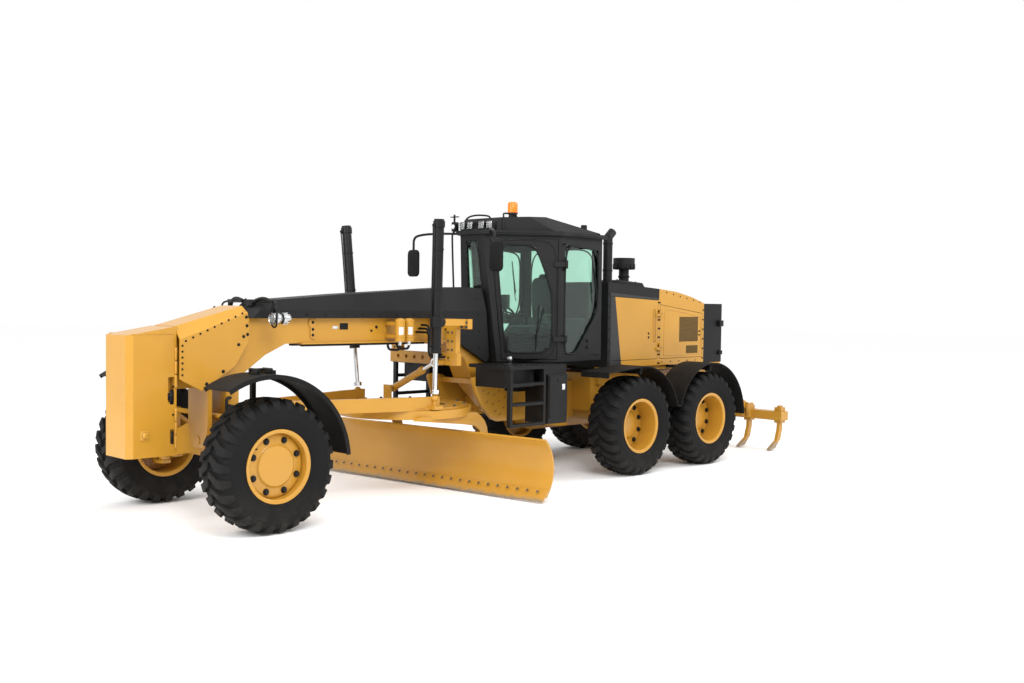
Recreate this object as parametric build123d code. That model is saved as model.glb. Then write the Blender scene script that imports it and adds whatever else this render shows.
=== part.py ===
from build123d import *
from math import asin, atan2, cos, degrees, hypot, radians, sin, sqrt, tan
import os

# A motor grader: front frame with cab, rear frame with engine hood and tandem, blade group under the
# gooseneck, ripper at the tail. Millimetres, +X forward, +Y left, +Z up, ground at z = 0.

# Whole machine
wheelbase = 6123.0
tandem_middle_x = -2075.0
front_axle_x = tandem_middle_x + wheelbase
tandem_spacing = 1523.0
track = 2140.0
front_end_x = front_axle_x + 977.0
rear_end_x = -5025.0
running_fit = 0.3
swing_gap = 6.0

# Wheels
tyre_radius = 630.0
tyre_width = 445.0
tread_depth = 30.0
lug_count = 18
lug_half_run = 62.0
lug_thickness = 46.0
lug_inner_y = 8.0
lug_outer_y = 206.0
bead_radius = 318.0
flange_radius = 345.0
flange_thickness = 20.0
rim_width = 380.0
rim_wall = 14.0
disc_wall = 22.0
front_disc_y = 95.0
rear_disc_y = -75.0
hub_cover_radius = 195.0
hub_cover_height = 26.0
wheel_bolt_ring = 252.0
wheel_bolt_hole = 20.0
front_bolt_count = 8
rear_bolt_count = 10
spindle_radius = 60.0
hub_radius = 112.0
axle_z = tyre_radius
wheel_y = track / 2

# Front axle and steering
kingpin_y = 920.0
kingpin_radius = 35.0
yoke_eye_radius = 60.0
yoke_half_height = 165.0
ear_thickness = 36.0
knuckle_inner_y = 72.0
knuckle_outer_y = 118.0
knuckle_half_width = 88.0
steering_arm = 160.0
tie_rod_radius = 20.0
tie_pin_radius = 16.0
tie_rod_z = axle_z - 45.0
beam_half_width = 68.0
lean_bar_z = 1010.0
lean_bar_radius = 26.0
bolster_pin_z = 760.0
bolster_pin_radius = 45.0

# Front fenders
fender_radius = 879.0
fender_wall = 12.0
fender_lip = 42.0
fender_centre_x = 93.0
fender_centre_z = -24.0
fender_inner_y = -70.0
fender_outer_y = 380.0
fender_arm_half = 22.0
fender_front_angle = 58.9
fender_rear_angle = 175.1
fender_arm_y = -118.0

# Front frame
beam_half_y = 165.0
beam_bottom_z = 1720.0
beam_top_z = 1980.0
flange_half_y = 205.0
flange_wall = 16.0
side_plate_y = 380.0
side_plate_wall = 40.0
sweep_clear_z = 735.0
hinge_x = -875.0
hinge_pin_radius = 50.0
hinge_collar_radius = 120.0
lower_ear_z = 600.0
upper_ear_z = 1150.0
hinge_ear_wall = 50.0
nose_front_x = front_axle_x + 482.0

# Push block and nose guard
push_plate_wall = 25.0
push_half_y = 235.0
push_front_half_y = 200.0
push_bottom_z = 670.0
push_top_front_z = 1820.0
push_top_rear_z = 1900.0
guard_half_y = 300.0
guard_top_half_y = 200.0
guard_wall = 14.0

# Cab
cab_floor_z = 1450.0
cab_roof_z = 3000.0
cab_wall = 45.0
cab_floor_wall = 40.0
cab_front_top_x = 495.0
cab_front_bottom_x = 340.0
cab_front_half_y = 200.0
cab_middle_x = -305.0
cab_middle_half_y = 770.0
cab_rear_x = -1155.0
cab_rear_half_y = 700.0
roof_brim = 50.0
roof_brim_wall = 50.0
roof_cap_height = 190.0
glass_wall = 6.0
door_gap = 6.0
cab_beam_height = 60.0
door_hinge_u = -60.0
door_hinge_d = 20.0
door_hinge_heights = (1700.0, 2620.0)
hinge_pin = 9.0
service_hinge_out = 20.0
service_hinge_heights = (1540.0, 2010.0)

# Blade group
drawbar_ball_x = front_axle_x - 373.0
drawbar_ball_z = 950.0
drawbar_ball_radius = 95.0
ball_joint_radius = 62.0
circle_x = 1525.0
drawbar_neck_back = 115.0
drawbar_shoulder_ahead = 425.0
drawbar_opening_share = 51 / 161
circle_outer_radius = 777.0
circle_inner_radius = 650.0
circle_bottom_z = 870.0
circle_top_z = 965.0
circle_gap = 0.5
blade_angle = 5.7
blade_length = 3658.0
blade_radius = 413.0
blade_wall = 22.0
blade_back_x = -430.0
blade_centre_x = blade_back_x + blade_radius + blade_wall
blade_centre_z = 369.0
blade_lip_z = 76.9649
blade_top_z = 685.3764
blade_low_angle = 180 + degrees(asin((blade_centre_z - blade_lip_z) / blade_radius))
blade_high_angle = 180 - degrees(asin((blade_top_z - blade_centre_z) / blade_radius))
rail_depth = 62.0
hook_clearance = 6.878
edge_reach = 80.0
edge_wall = 18.0
rail_height = 50.0
rail_back_x = blade_back_x - 10.0
upper_rail_z = 560.0
lower_rail_z = 180.0
rail_half_length = blade_length / 2 - 379.0
side_shift_stroke = 700.0
shift_barrel_far_y = -(blade_length / 2 - 189.0)
arm_inner_y = 680.0
arm_outer_y = 720.0
tip_pivot_x = -600.0
tip_pivot_z = 200.0
tip_pin_radius = 28.0
tip_boss_radius = 52.0
bracket_inner_y = 612.0
bracket_outer_y = 672.0
shift_cylinder_x = -482.0
shift_cylinder_z = 370.0
shift_barrel_near_y = bracket_inner_y - side_shift_stroke - 77.0
shift_rod_far_y = shift_barrel_near_y - side_shift_stroke + 20.0
shift_barrel_radius = 42.0
shift_rod_radius = 25.0

# Lift, centre shift
saddle_x = 1225.0
saddle_half_x = 35.0
saddle_offset_y = -45.0
trunnion_half_span = 765.0
trunnion_z = 1950.0
trunnion_x = 1675.0
trunnion_pin_radius = 28.0
lift_barrel_radius = 56.0
lift_rod_radius = 26.0
lift_barrel_up = 1130.0
lift_barrel_down = 350.0
lift_ball_y = 700.0
lift_ball_z = 1100.0
lift_ball_radius = 42.0
rod_end_gap = 8.0
link_bar_low_z = 1440.0
link_bar_high_z = 1580.0
shift_plane_x = 1375.0
shift_upper_y = 350.0
shift_upper_z = 1470.0
shift_lower_y = -400.0
shift_lower_z = 1130.0
shift_pin_radius = 18.0
shift_bushing_radius = 30.0
shift_ram_radius = 22.0

# Rear frame, tandem, hood
rail_inner_y = 330.0
rail_outer_y = 400.0
rail_low_z = 950.0
rail_high_z = 1250.0
rear_plate_x = -4150.0
rear_plate_wall = 45.0
case_inner_y = 655.0
case_outer_y = 828.0
case_radius = 212.0
axle_housing_z = 700.0
axle_housing_radius = 165.0
axle_pad_z = 900.0
hood_front_x = -1410.0
hood_post_x = -2575.0
hood_rear_x = -3715.0
hood_bottom_z = 1330.0
hood_front_half_y = 600.0
hood_rear_half_y = 500.0
hood_wall = 22.0
service_door_low_z = 1422.0
service_door_high_z = 2230.0
rear_door_high_z = 2110.0
grille_depth = 12.0
stack_x = -1625.0
stack_y = 400.0
stack_radius = 62.0
stack_top_z = 3160.0
rear_fender_radius = 762.0
rear_fender_front_x = -605.0
rear_fender_inner_y = 852.0
rear_fender_outer_y = 1300.0

# Ripper
ripper_link_front_x = -4255.0
ripper_link_front_z = 900.0
ripper_link_rear_x = -4790.0
ripper_link_rear_z = 640.0
ripper_link_y = 560.0
ripper_pin_radius = 25.0
ripper_beam_low_z = 450.0
ripper_beam_high_z = 585.0
ripper_beam_half_y = 1150.0
shank_spacing = 533.0
shank_tip_z = 15.0
shank_tip_x = -4625.0
ripper_barrel_x = -4240.0
ripper_barrel_z = 1160.0
ripper_eye_x = -4860.0
ripper_eye_z = 760.0


def block(x0, x1, y0, y1, z0, z1):
    return Solid.make_box(x1 - x0, y1 - y0, z1 - z0, Plane(origin=(x0, y0, z0)))


def slab(plane, points, low, high):
    """Plate of an outline in plane xy, xz or yz, from low to high along the third axis."""
    def at(a, b, c):
        return {"xy": Vector(a, b, c), "xz": Vector(a, c, b), "yz": Vector(c, a, b)}[plane]
    face = Face(Wire.make_polygon([at(a, b, low) for a, b in points]))
    return Solid.extrude(face, at(0, 0, high) - at(0, 0, low))


def bar(start, end, radius, bore=0.0):
    run = Vector(end) - Vector(start)
    plane = Plane(origin=start, z_dir=run)
    body = Solid.make_cylinder(radius, run.length, plane)
    if bore:
        body = body - Solid.make_cylinder(bore, run.length, plane)
    return body


def pipe(points, radius, bend):
    path = FilletPolyline(*points, radius=bend)
    return sweep(Plane(origin=path @ 0, z_dir=path % 0) * Circle(radius), path=path)


def ball(x, y, z, radius):
    return Pos(x, y, z) * Rot(90, 0, 0) * Solid.make_sphere(radius, angle1=-90, angle2=90)


def turned(profile, angle=360.0):
    """Ring, disc or arch around the Y axis from (radius, y) points."""
    face = Face(Wire.make_polygon([Vector(r, y, 0) for r, y in profile]))
    return Solid.revolve(face, angle, Axis.Y)


def both_sides(shape):
    return shape + shape.mirror(Plane.XZ)


def save(name, shape):
    solids = shape.solids()
    export_step(solids[0] if len(solids) == 1 else Compound(solids), f"parts/{name}.step")


# Wheels

def tyre():
    half = tyre_width / 2
    crown = tyre_radius - tread_depth
    # radius, y of one side, from the bead to the crown
    side = (
        (bead_radius, 164), (bead_radius + 34, 170), (bead_radius + 80, half - 16), (bead_radius + 150, half),
        (bead_radius + 222, half - 4), (crown - 14, half - 28), (crown, half - 100),
    )
    body = turned([(r, y) for r, y in side] + [(r, -y) for r, y in reversed(side)])
    flat_top = sqrt(tyre_radius ** 2 - lug_half_run ** 2)
    lean = lug_half_run - lug_thickness / 2
    outline = (
        (-lug_half_run, lug_inner_y), (-lug_half_run + lug_thickness, lug_inner_y),
        (lean + lug_thickness / 2, lug_outer_y), (lean - lug_thickness / 2, lug_outer_y),
    )
    lug = slab("xy", outline, flat_top - tread_depth - 30, flat_top)
    pitch = 360 / lug_count
    lugs = []
    for index in range(lug_count):
        lugs.append(Rot(0, index * pitch, 0) * lug)
        lugs.append(Rot(0, (index + 0.5) * pitch, 0) * lug.mirror(Plane.XZ))
    return body.fuse(*lugs)


def rim(disc_y, bolt_count, cover):
    edge = rim_width / 2
    tube = bead_radius - running_fit
    inner = tube - rim_wall
    barrel = turned((
        (flange_radius, edge), (flange_radius, edge - flange_thickness), (tube, edge - flange_thickness - 6),
        (tube, -edge + flange_thickness + 6), (flange_radius, -edge + flange_thickness),
        (flange_radius, -edge),
        (inner + 12, -edge), (inner, -edge + 14), (inner, edge - 14), (inner + 12, edge),
    ))
    disc = turned(((inner + 4, disc_y), (inner + 4, disc_y + disc_wall), (0, disc_y + disc_wall),
                   (0, disc_y)))
    hub = bar((0, disc_y - 60, 0), (0, disc_y + disc_wall, 0), hub_radius)
    body = barrel + disc + hub
    if cover:
        body += bar((0, disc_y + disc_wall, 0), (0, disc_y + disc_wall + hub_cover_height, 0),
                    hub_cover_radius)
    body -= bar((0, disc_y - 70, 0), (0, disc_y + 10, 0), spindle_radius + running_fit)
    for index in range(bolt_count):
        turn = 360 / bolt_count * (index + 0.5)
        x = wheel_bolt_ring * cos(radians(turn))
        z = wheel_bolt_ring * sin(radians(turn))
        body -= bar((x, disc_y - 1, z), (x, disc_y + disc_wall + 1, z), wheel_bolt_hole)
    return body


# name, x, side, has the shallow steered disc
wheels = (
    ("front_left", front_axle_x, 1, True),
    ("front_right", front_axle_x, -1, True),
    ("middle_left", tandem_middle_x + tandem_spacing / 2, 1, False),
    ("middle_right", tandem_middle_x + tandem_spacing / 2, -1, False),
    ("rear_left", tandem_middle_x - tandem_spacing / 2, 1, False),
    ("rear_right", tandem_middle_x - tandem_spacing / 2, -1, False),
)


def save_wheels():
    phase = degrees(atan2(lug_half_run, sqrt(tyre_radius ** 2 - lug_half_run ** 2)))
    rubber = Rot(0, phase, 0) * tyre()
    steered = rim(front_disc_y, front_bolt_count, True)
    driven = rim(rear_disc_y, rear_bolt_count, False)
    for name, x, side, shallow in wheels:
        place = Pos(x, side * wheel_y, axle_z)
        metal = steered if shallow else driven
        if side < 0:
            save(f"{name}_tyre", place * rubber.mirror(Plane.XZ))
            save(f"{name}_rim", place * metal.mirror(Plane.XZ))
        else:
            save(f"{name}_tyre", place * rubber)
            save(f"{name}_rim", place * metal)


# Front axle and steering

def front_axle():
    x0, x1 = front_axle_x - beam_half_width, front_axle_x + beam_half_width
    outline = ((700, 770), (330, 900), (-330, 900), (-700, 770), (-700, 520), (-330, 600), (330, 600),
               (700, 520))
    beam = slab("yz", outline, x0, x1)
    arm_half_x = 55
    side = block(front_axle_x - arm_half_x, front_axle_x + arm_half_x, 640, kingpin_y, axle_z - 110,
                 axle_z + 110)
    side += bar((front_axle_x, kingpin_y, axle_z - yoke_half_height),
                (front_axle_x, kingpin_y, axle_z + yoke_half_height), yoke_eye_radius)
    side += block(front_axle_x - 30, front_axle_x + 30, 640, 700, axle_z + 60, lean_bar_z + 30)
    body = beam + side + side.mirror(Plane.XZ)
    body += bar((front_axle_x, -670, lean_bar_z), (front_axle_x, 670, lean_bar_z), lean_bar_radius)
    for sign in (1, -1):
        body -= bar((front_axle_x, sign * kingpin_y, axle_z - yoke_half_height - 1),
                    (front_axle_x, sign * kingpin_y, axle_z + yoke_half_height + 1),
                    kingpin_radius + running_fit)
    body -= bar((x0 - 1, 0, bolster_pin_z), (x1 + 1, 0, bolster_pin_z), bolster_pin_radius + running_fit)
    return body


def knuckle():
    top = axle_z + yoke_half_height + swing_gap
    bottom = axle_z - yoke_half_height - swing_gap
    ear = ((-48, -45), (48, -45), (knuckle_half_width, knuckle_inner_y),
           (knuckle_half_width, knuckle_outer_y),
           (-knuckle_half_width, knuckle_outer_y), (-knuckle_half_width, knuckle_inner_y))
    body = slab("xy", ear, top, top + ear_thickness) + slab("xy", ear, bottom - ear_thickness, bottom)
    body += block(-knuckle_half_width, knuckle_half_width, knuckle_inner_y, knuckle_outer_y,
                  bottom - ear_thickness, top + ear_thickness)
    body += bar((0, 0, bottom - ear_thickness), (0, 0, top + ear_thickness), kingpin_radius)
    reach = wheel_y + front_disc_y - kingpin_y
    body += bar((0, knuckle_outer_y, axle_z), (0, reach - 60 - 4, axle_z), 96)
    body += bar((0, knuckle_outer_y, axle_z), (0, reach, axle_z), spindle_radius)
    arm = ((-60, knuckle_inner_y), (-60, knuckle_outer_y), (-112, knuckle_outer_y),
           (-steering_arm - 28, 22), (-steering_arm - 28, -28), (-steering_arm + 26, -28),
           (-steering_arm + 26, 12),
           (-96, knuckle_inner_y))
    body += slab("xy", arm, tie_rod_z - 62, tie_rod_z - 32)
    body += bar((-steering_arm, 0, tie_rod_z - 40), (-steering_arm, 0, tie_rod_z + 26), tie_pin_radius)
    return Pos(front_axle_x, kingpin_y, 0) * body


def tie_rod():
    x = front_axle_x - steering_arm
    body = bar((x, -kingpin_y, tie_rod_z), (x, kingpin_y, tie_rod_z), tie_rod_radius)
    for sign in (1, -1):
        body += bar((x, sign * kingpin_y, tie_rod_z - 31), (x, sign * kingpin_y, tie_rod_z + 24), 34)
    for sign in (1, -1):
        body -= bar((x, sign * kingpin_y, tie_rod_z - 33), (x, sign * kingpin_y, tie_rod_z + 30),
                    tie_pin_radius + running_fit)
    return body


def front_fender():
    centre_z = axle_z + fender_centre_z
    y0, y1, wall = fender_inner_y, fender_outer_y, fender_wall
    inner, lip = fender_radius - wall, fender_radius - fender_lip
    section = ((fender_radius, y0), (fender_radius, y1), (lip, y1), (lip, y1 - wall), (inner, y1 - wall),
               (inner, y0 + wall), (lip, y0 + wall), (lip, y0))
    shell = turned(section, fender_rear_angle - fender_front_angle)
    shell = Pos(fender_centre_x, 0, centre_z) * Rot(0, -fender_rear_angle, 0) * shell
    ear_top = axle_z + yoke_half_height + swing_gap + ear_thickness
    top_z = centre_z + fender_radius - 20
    half = fender_arm_half
    body = shell + block(-38, 38, fender_arm_y - 26, 50, ear_top, ear_top + 28)
    body += block(-half, half, fender_arm_y - half, fender_arm_y + half, ear_top + 2, top_z + 50)
    body += block(-half, half, fender_arm_y - half, fender_arm_y + (y1 - y0) * 0.8, top_z, top_z + 50)
    return Pos(front_axle_x, kingpin_y, 0) * body


# Front frame

neck_x = front_axle_x - 960.0
gooseneck = (
    (nose_front_x, 1300), (nose_front_x, 1860), (neck_x + 612, beam_top_z), (760, beam_top_z), (400, 1400),
    (-700, 1300), (-740, 1220), (-740, 640), (-300, sweep_clear_z), (150, 800), (600, 1213), (735, 1480),
    (1000, beam_bottom_z), (neck_x, beam_bottom_z), (neck_x + 185, 1711), (neck_x + 424, 1602),
    (neck_x + 656, 1436), (neck_x + 736, 1300),
)
# x, z of the plates each side under the cab
side_plate = (
    (832, 1276), (762, 1290), (604, 1266), (326, 1123), (152, 1035), (-205, 850), (-600, 800), (-845, 800),
    (-845, 600), (-700, 600), (-420, 640), (-380, sweep_clear_z), (422, sweep_clear_z), (526, 773),
    (681, 930),
    (770, 1064), (838, 1240),
)


def front_frame():
    body = slab("xz", gooseneck, -beam_half_y, beam_half_y)
    body += block(1000, neck_x, -flange_half_y, flange_half_y, beam_bottom_z - flange_wall, beam_bottom_z)
    body += both_sides(slab("xz", side_plate, side_plate_y, side_plate_y + side_plate_wall))
    for x0, x1, z0, z1 in ((560, 640, 1180, 1240), (100, 220, 830, 980), (-720, -600, 640, 790)):
        body += block(x0, x1, -side_plate_y, side_plate_y, z0, z1)
    # cross beams that the cab stands on
    for x in (150, -640):
        body += block(x, x + 110, -375, 375, 1270, cab_floor_z - cab_beam_height)
    for z in (lower_ear_z, upper_ear_z):
        ear = block(hinge_x, -700, -hinge_collar_radius, hinge_collar_radius, z, z + hinge_ear_wall)
        body += ear + bar((hinge_x, 0, z), (hinge_x, 0, z + hinge_ear_wall), hinge_collar_radius)
    body += bar((hinge_x, 0, lower_ear_z - 15), (hinge_x, 0, upper_ear_z + hinge_ear_wall + 15),
                hinge_pin_radius)
    plate = ((190, 1310), (-190, 1310), (-190, 900), (-120, 690), (120, 690), (190, 900))
    for x in (front_axle_x - beam_half_width - 60, front_axle_x + beam_half_width + 10):
        body += slab("yz", plate, x, x + 50)
    body += bar((front_axle_x - beam_half_width - 70, 0, bolster_pin_z),
                (front_axle_x + beam_half_width + 70, 0, bolster_pin_z), bolster_pin_radius)
    mount_x = drawbar_ball_x + drawbar_ball_radius + 30
    body += block(mount_x, front_axle_x - beam_half_width - 40, -140, 140, 860, 1400)
    stem_x = drawbar_ball_x + ball_joint_radius + running_fit
    return body + bar((stem_x, 0, drawbar_ball_z), (mount_x + 5, 0, drawbar_ball_z), 40)


def frame_cover():
    outline = (
        (neck_x + 612, beam_top_z), (neck_x + 437, 2160), (2525, 2240), (825, 2350), (478, 2345), (393, 1500),
        (440, 1440), (1000, 1742), (1120, beam_top_z),
    )
    body = slab("xz", outline, -235, 235)
    # the top edges are folded inwards
    for sign in (1, -1):
        body -= slab("yz", ((sign * 236, 2500), (sign * 236, 2060), (sign * 150, 2500)), 380, neck_x + 712)
    return body - slab("xz", gooseneck, -beam_half_y, beam_half_y)


def nose_guard():
    def shell(inset):
        def section(x, fold, top):
            half, peak = guard_half_y - inset, guard_top_half_y - inset
            return Wire.make_polygon([Vector(x, y, z) for y, z in (
                (-half, 1200), (half, 1200), (half, fold), (peak, top - inset), (-peak, top - inset),
                (-half, fold))])
        return Solid.make_loft([section(nose_front_x + 1, 1780, 1905), section(neck_x + 612, 2070, 2133)],
                               ruled=True)
    outline = ((nose_front_x, 1400), (neck_x + 1217, 1279), (neck_x + 847, 1509), (neck_x + 706, 1734),
               (neck_x + 684, 1824), (neck_x + 720, 2110), (nose_front_x, 2110))
    keep = slab("xz", outline, -guard_half_y - 5, guard_half_y + 5)
    outer = shell(0) & keep
    return outer - shell(guard_wall)


def push_block():
    plate = block(nose_front_x, nose_front_x + push_plate_wall, -push_half_y, push_half_y, push_bottom_z + 30,
                  push_top_rear_z)
    rear = nose_front_x + push_plate_wall
    plan = ((rear, -push_half_y), (front_end_x - 60, -push_half_y), (front_end_x, -push_front_half_y),
            (front_end_x, push_front_half_y), (front_end_x - 60, push_half_y), (rear, push_half_y))
    body = slab("xy", plan, push_bottom_z, push_top_rear_z)
    body -= slab("xz", ((front_end_x + 1, push_top_front_z), (rear - 1, push_top_rear_z), (rear - 1, 2000),
                        (front_end_x + 1, 2000)), -300, 300)
    for sign in (1, -1):
        body -= block(rear - 1, rear + 60, sign * 250 - 90, sign * 250 + 90, 1180, 1420)
        body -= block(rear - 1, rear + 40, sign * 250 - 60, sign * 250 + 60, 790, 920)
    return body + plate


# Cab

def cab_prism(inset, low, high):
    """Upright six-sided cab plan moved inwards, with its raked front."""
    points = (
        (cab_front_top_x, cab_front_half_y), (cab_middle_x, cab_middle_half_y), (cab_rear_x, cab_rear_half_y),
        (cab_rear_x, -cab_rear_half_y), (cab_middle_x, -cab_middle_half_y),
        (cab_front_top_x, -cab_front_half_y),
    )
    plan = inset_outline(points, inset)
    rake = (cab_front_top_x - cab_front_bottom_x) / (cab_roof_z - cab_floor_z)
    front_low = cab_front_bottom_x - inset + (low - cab_floor_z) * rake
    front_high = cab_front_bottom_x - inset + (high - cab_floor_z) * rake
    side = ((-2000, low), (front_low, low), (front_high, high), (-2000, high))
    wide = wide_front(points, inset)
    return slab("xy", wide, low, high) & slab("xz", side, -1000, 1000)


def inset_outline(points, inset):
    """Convex clockwise or anticlockwise outline moved inwards by inset."""
    lines = []
    middle_x = sum(x for x, y in points) / len(points)
    middle_y = sum(y for x, y in points) / len(points)
    for (x0, y0), (x1, y1) in zip(points, points[1:] + points[:1]):
        length = hypot(x1 - x0, y1 - y0)
        nx, ny = (y1 - y0) / length, -(x1 - x0) / length
        if (middle_x - x0) * nx + (middle_y - y0) * ny < 0:
            nx, ny = -nx, -ny
        lines.append((nx, ny, nx * x0 + ny * y0 + inset))
    result = []
    for (a, b, c), (d, e, f) in zip(lines[-1:] + lines[:-1], lines):
        det = a * e - b * d
        result.append(((c * e - b * f) / det, (a * f - c * d) / det))
    return result


def wide_front(points, inset):
    """The plan without its front face: the two door planes run on to where the raked front cuts them."""
    x0, y0 = points[1]
    x1, y1 = points[0]
    slope = (y1 - y0) / (x1 - x0)
    far_x = x1 + 60
    far_y = y1 + 60 * slope
    longer = ((far_x, far_y), points[1], points[2], points[3], points[4], (far_x, -far_y))
    return inset_outline(longer, inset)


door_turn = degrees(atan2(cab_front_half_y - cab_middle_half_y, cab_front_top_x - cab_middle_x))


def door_slab(outline, grow=0.0):
    """Prism through the left door's wall: outline points are (distance from the middle pillar, z)."""
    middle_u = sum(u for u, z in outline) / len(outline)
    middle_z = sum(z for u, z in outline) / len(outline)
    sized = [(u + (grow if u > middle_u else -grow), z + (grow if z > middle_z else -grow))
             for u, z in outline]
    body = slab("xz", sized, -150, 60)
    return door_place() * body


door_outline = ((45, cab_floor_z + 30), (730, cab_floor_z + 30), (885, 2945), (45, 2945))
door_window = ((105, 1640), (240, 1560), (640, 1560), (705, 1690), (815, 2880), (330, 2880), (105, 2300))
rear_window = ((-380, 1545), (-380, 2900), (-1080, 2850), (-1080, 2080), (-620, 1545))
windscreen = ((-150, 1560), (150, 1560), (110, 2920), (-110, 2920))
back_window = ((-560, 1700), (560, 1700), (560, 2880), (-560, 2880))


def cab_wall_shell():
    return cab_prism(0, cab_floor_z, cab_roof_z) - cab_prism(
        cab_wall, cab_floor_z + cab_floor_wall, cab_roof_z - 30)


def window_cuts():
    side = slab("xz", rear_window, cab_rear_half_y - 120, cab_middle_half_y + 60)
    front = slab("yz", windscreen, cab_front_bottom_x - 100, cab_front_top_x + 60)
    back = slab("yz", back_window, cab_rear_x - 30, cab_rear_x + 80)
    return side + side.mirror(Plane.XZ) + front + back


def cab_shell():
    walls = cab_wall_shell() - window_cuts()
    walls -= both_sides(door_slab(door_outline, door_gap))
    beams = both_sides(block(-1100, 230, 240, 375, cab_floor_z - cab_beam_height, cab_floor_z))
    lugs = cab_hinge_lugs()
    return walls + cab_roof() + beams + lugs + lugs.mirror(Plane.XZ)


def door_place():
    return Pos(cab_middle_x, cab_middle_half_y, 0) * Rot(0, 0, door_turn)


def cab_hinge_lugs():
    u, d = door_hinge_u, door_hinge_d
    body = None
    for z in door_hinge_heights:
        step = block(u - 14, u + 14, -70, d + 14, z - 20, z - 1)
        step += block(u - 14, u + 14, -70, d + 14, z + 61, z + 80)
        step += bar((u, d, z - 20), (u, d, z + 80), hinge_pin)
        body = step if body is None else body + step
    return door_place() * body - cab_prism(cab_wall - 5, cab_floor_z, cab_roof_z) - window_cuts()


def cab_door_straps():
    u, d = door_hinge_u, door_hinge_d
    body = None
    for z in door_hinge_heights:
        step = bar((u, d, z), (u, d, z + 60), 18) + block(u, 95, d - 8, d + 8, z, z + 60)
        step += block(60, 95, -5, d + 8, z, z + 60)
        step -= bar((u, d, z - 1), (u, d, z + 61), hinge_pin + running_fit)
        body = step if body is None else body + step
    return door_place() * body


def cab_roof():
    brim = cab_prism(-roof_brim, cab_roof_z, cab_roof_z + roof_brim_wall)
    cap_low = cab_roof_z + roof_brim_wall
    cap_high = cap_low + roof_cap_height
    side = ((440, cap_low), (300, cap_high - 30), (-300, cap_high), (-1120, cap_low + 20), (-1120, cap_low))
    across = ((-720, cap_low), (-500, cap_high), (500, cap_high), (720, cap_low))
    cap = slab("xz", side, -800, 800) & slab("yz", across, -1300, 600) & cab_prism(10, cap_low, cap_high)
    return brim + cap


def glass_layer():
    middle = cab_wall / 2
    low, high = cab_floor_z + 60, cab_roof_z - 40
    inner = cab_prism(middle + glass_wall / 2, low - 1, high + 1)
    return cab_prism(middle - glass_wall / 2, low, high) - inner


def cab_glass():
    return glass_layer() & window_cuts()


def cab_door():
    body = cab_wall_shell() & door_slab(door_outline)
    return body - door_slab(door_window) + cab_door_straps()


def cab_door_glass():
    return glass_layer() & door_slab(door_window)


def operator_station():
    floor = cab_floor_z + cab_floor_wall
    body = block(-760, -360, -180, 180, floor, floor + 260)
    body += block(-820, -300, -250, 250, floor + 260, floor + 400)
    body += block(-900, -800, -240, 240, floor + 300, floor + 1050)
    body += both_sides(block(-780, -380, 270, 350, floor + 380, floor + 560))
    body += both_sides(block(-780, -500, 240, 290, floor + 270, floor + 400))
    body += block(60, 200, -90, 90, floor, floor + 560)
    return body


def side_steps():
    body = block(240, 790, 300, 1060, 1400, 1440) + block(790, 860, 700, 1060, 1400, 1440)
    for x in (275, 825):
        body += block(x - 18, x + 18, 1000, 1060, sweep_clear_z + 5, 1440)
    for z in (sweep_clear_z + 5, 980, 1210):
        body += block(275, 825, 1000, 1060, z, z + 30)
    plate_y = side_plate_y + side_plate_wall
    body += block(300, 790, plate_y, 900, 1180, 1400)
    body += block(-165, 170, 640, 1020, sweep_clear_z, 1320)
    body += block(-165, 245, plate_y, 1000, 1320, 1440)
    body += block(150, 300, plate_y, 620, 1100, 1400)
    return both_sides(body)


def mirrors():
    body = pipe([(430, 290, 3020), (760, 560, 3020), (1025, 950, 2960), (1025, 950, 2840)], 16, 60)
    body += block(1005, 1045, 880, 1090, 2520, 2860)
    body += pipe([(430, -290, 3020), (650, -560, 3020), (797, -733, 2960), (797, -733, 2800)], 16, 60)
    body += block(777, 817, -838, -630, 2480, 2820)
    # lamps on the roof and the beacon
    for y in (50, 190):
        body += both_sides(block(340, 440, y, y + 105, 3060, 3170))
    cap_high = cab_roof_z + roof_brim_wall + roof_cap_height
    body += bar((-215, 0, cap_high - 20), (-215, 0, cap_high + 70), 50)
    body += bar((-215, 0, cap_high + 70), (-215, 0, cap_high + 210), 64)
    # headlamps on their bar
    x = neck_x + 472
    body += block(x, x + 40, -420, 420, 2135, 2170) + block(x, x + 40, -60, 60, 2090, 2140)
    for sign in (1, -1):
        body += block(x, x + 40, sign * 400 - 20, sign * 400 + 20, 2020, 2170)
        body += bar((x - 60, sign * 450, 1980), (x + 60, sign * 450, 1980), 62)
    return body - cab_roof() - frame_cover()


# Lift saddle and cylinders

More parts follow.
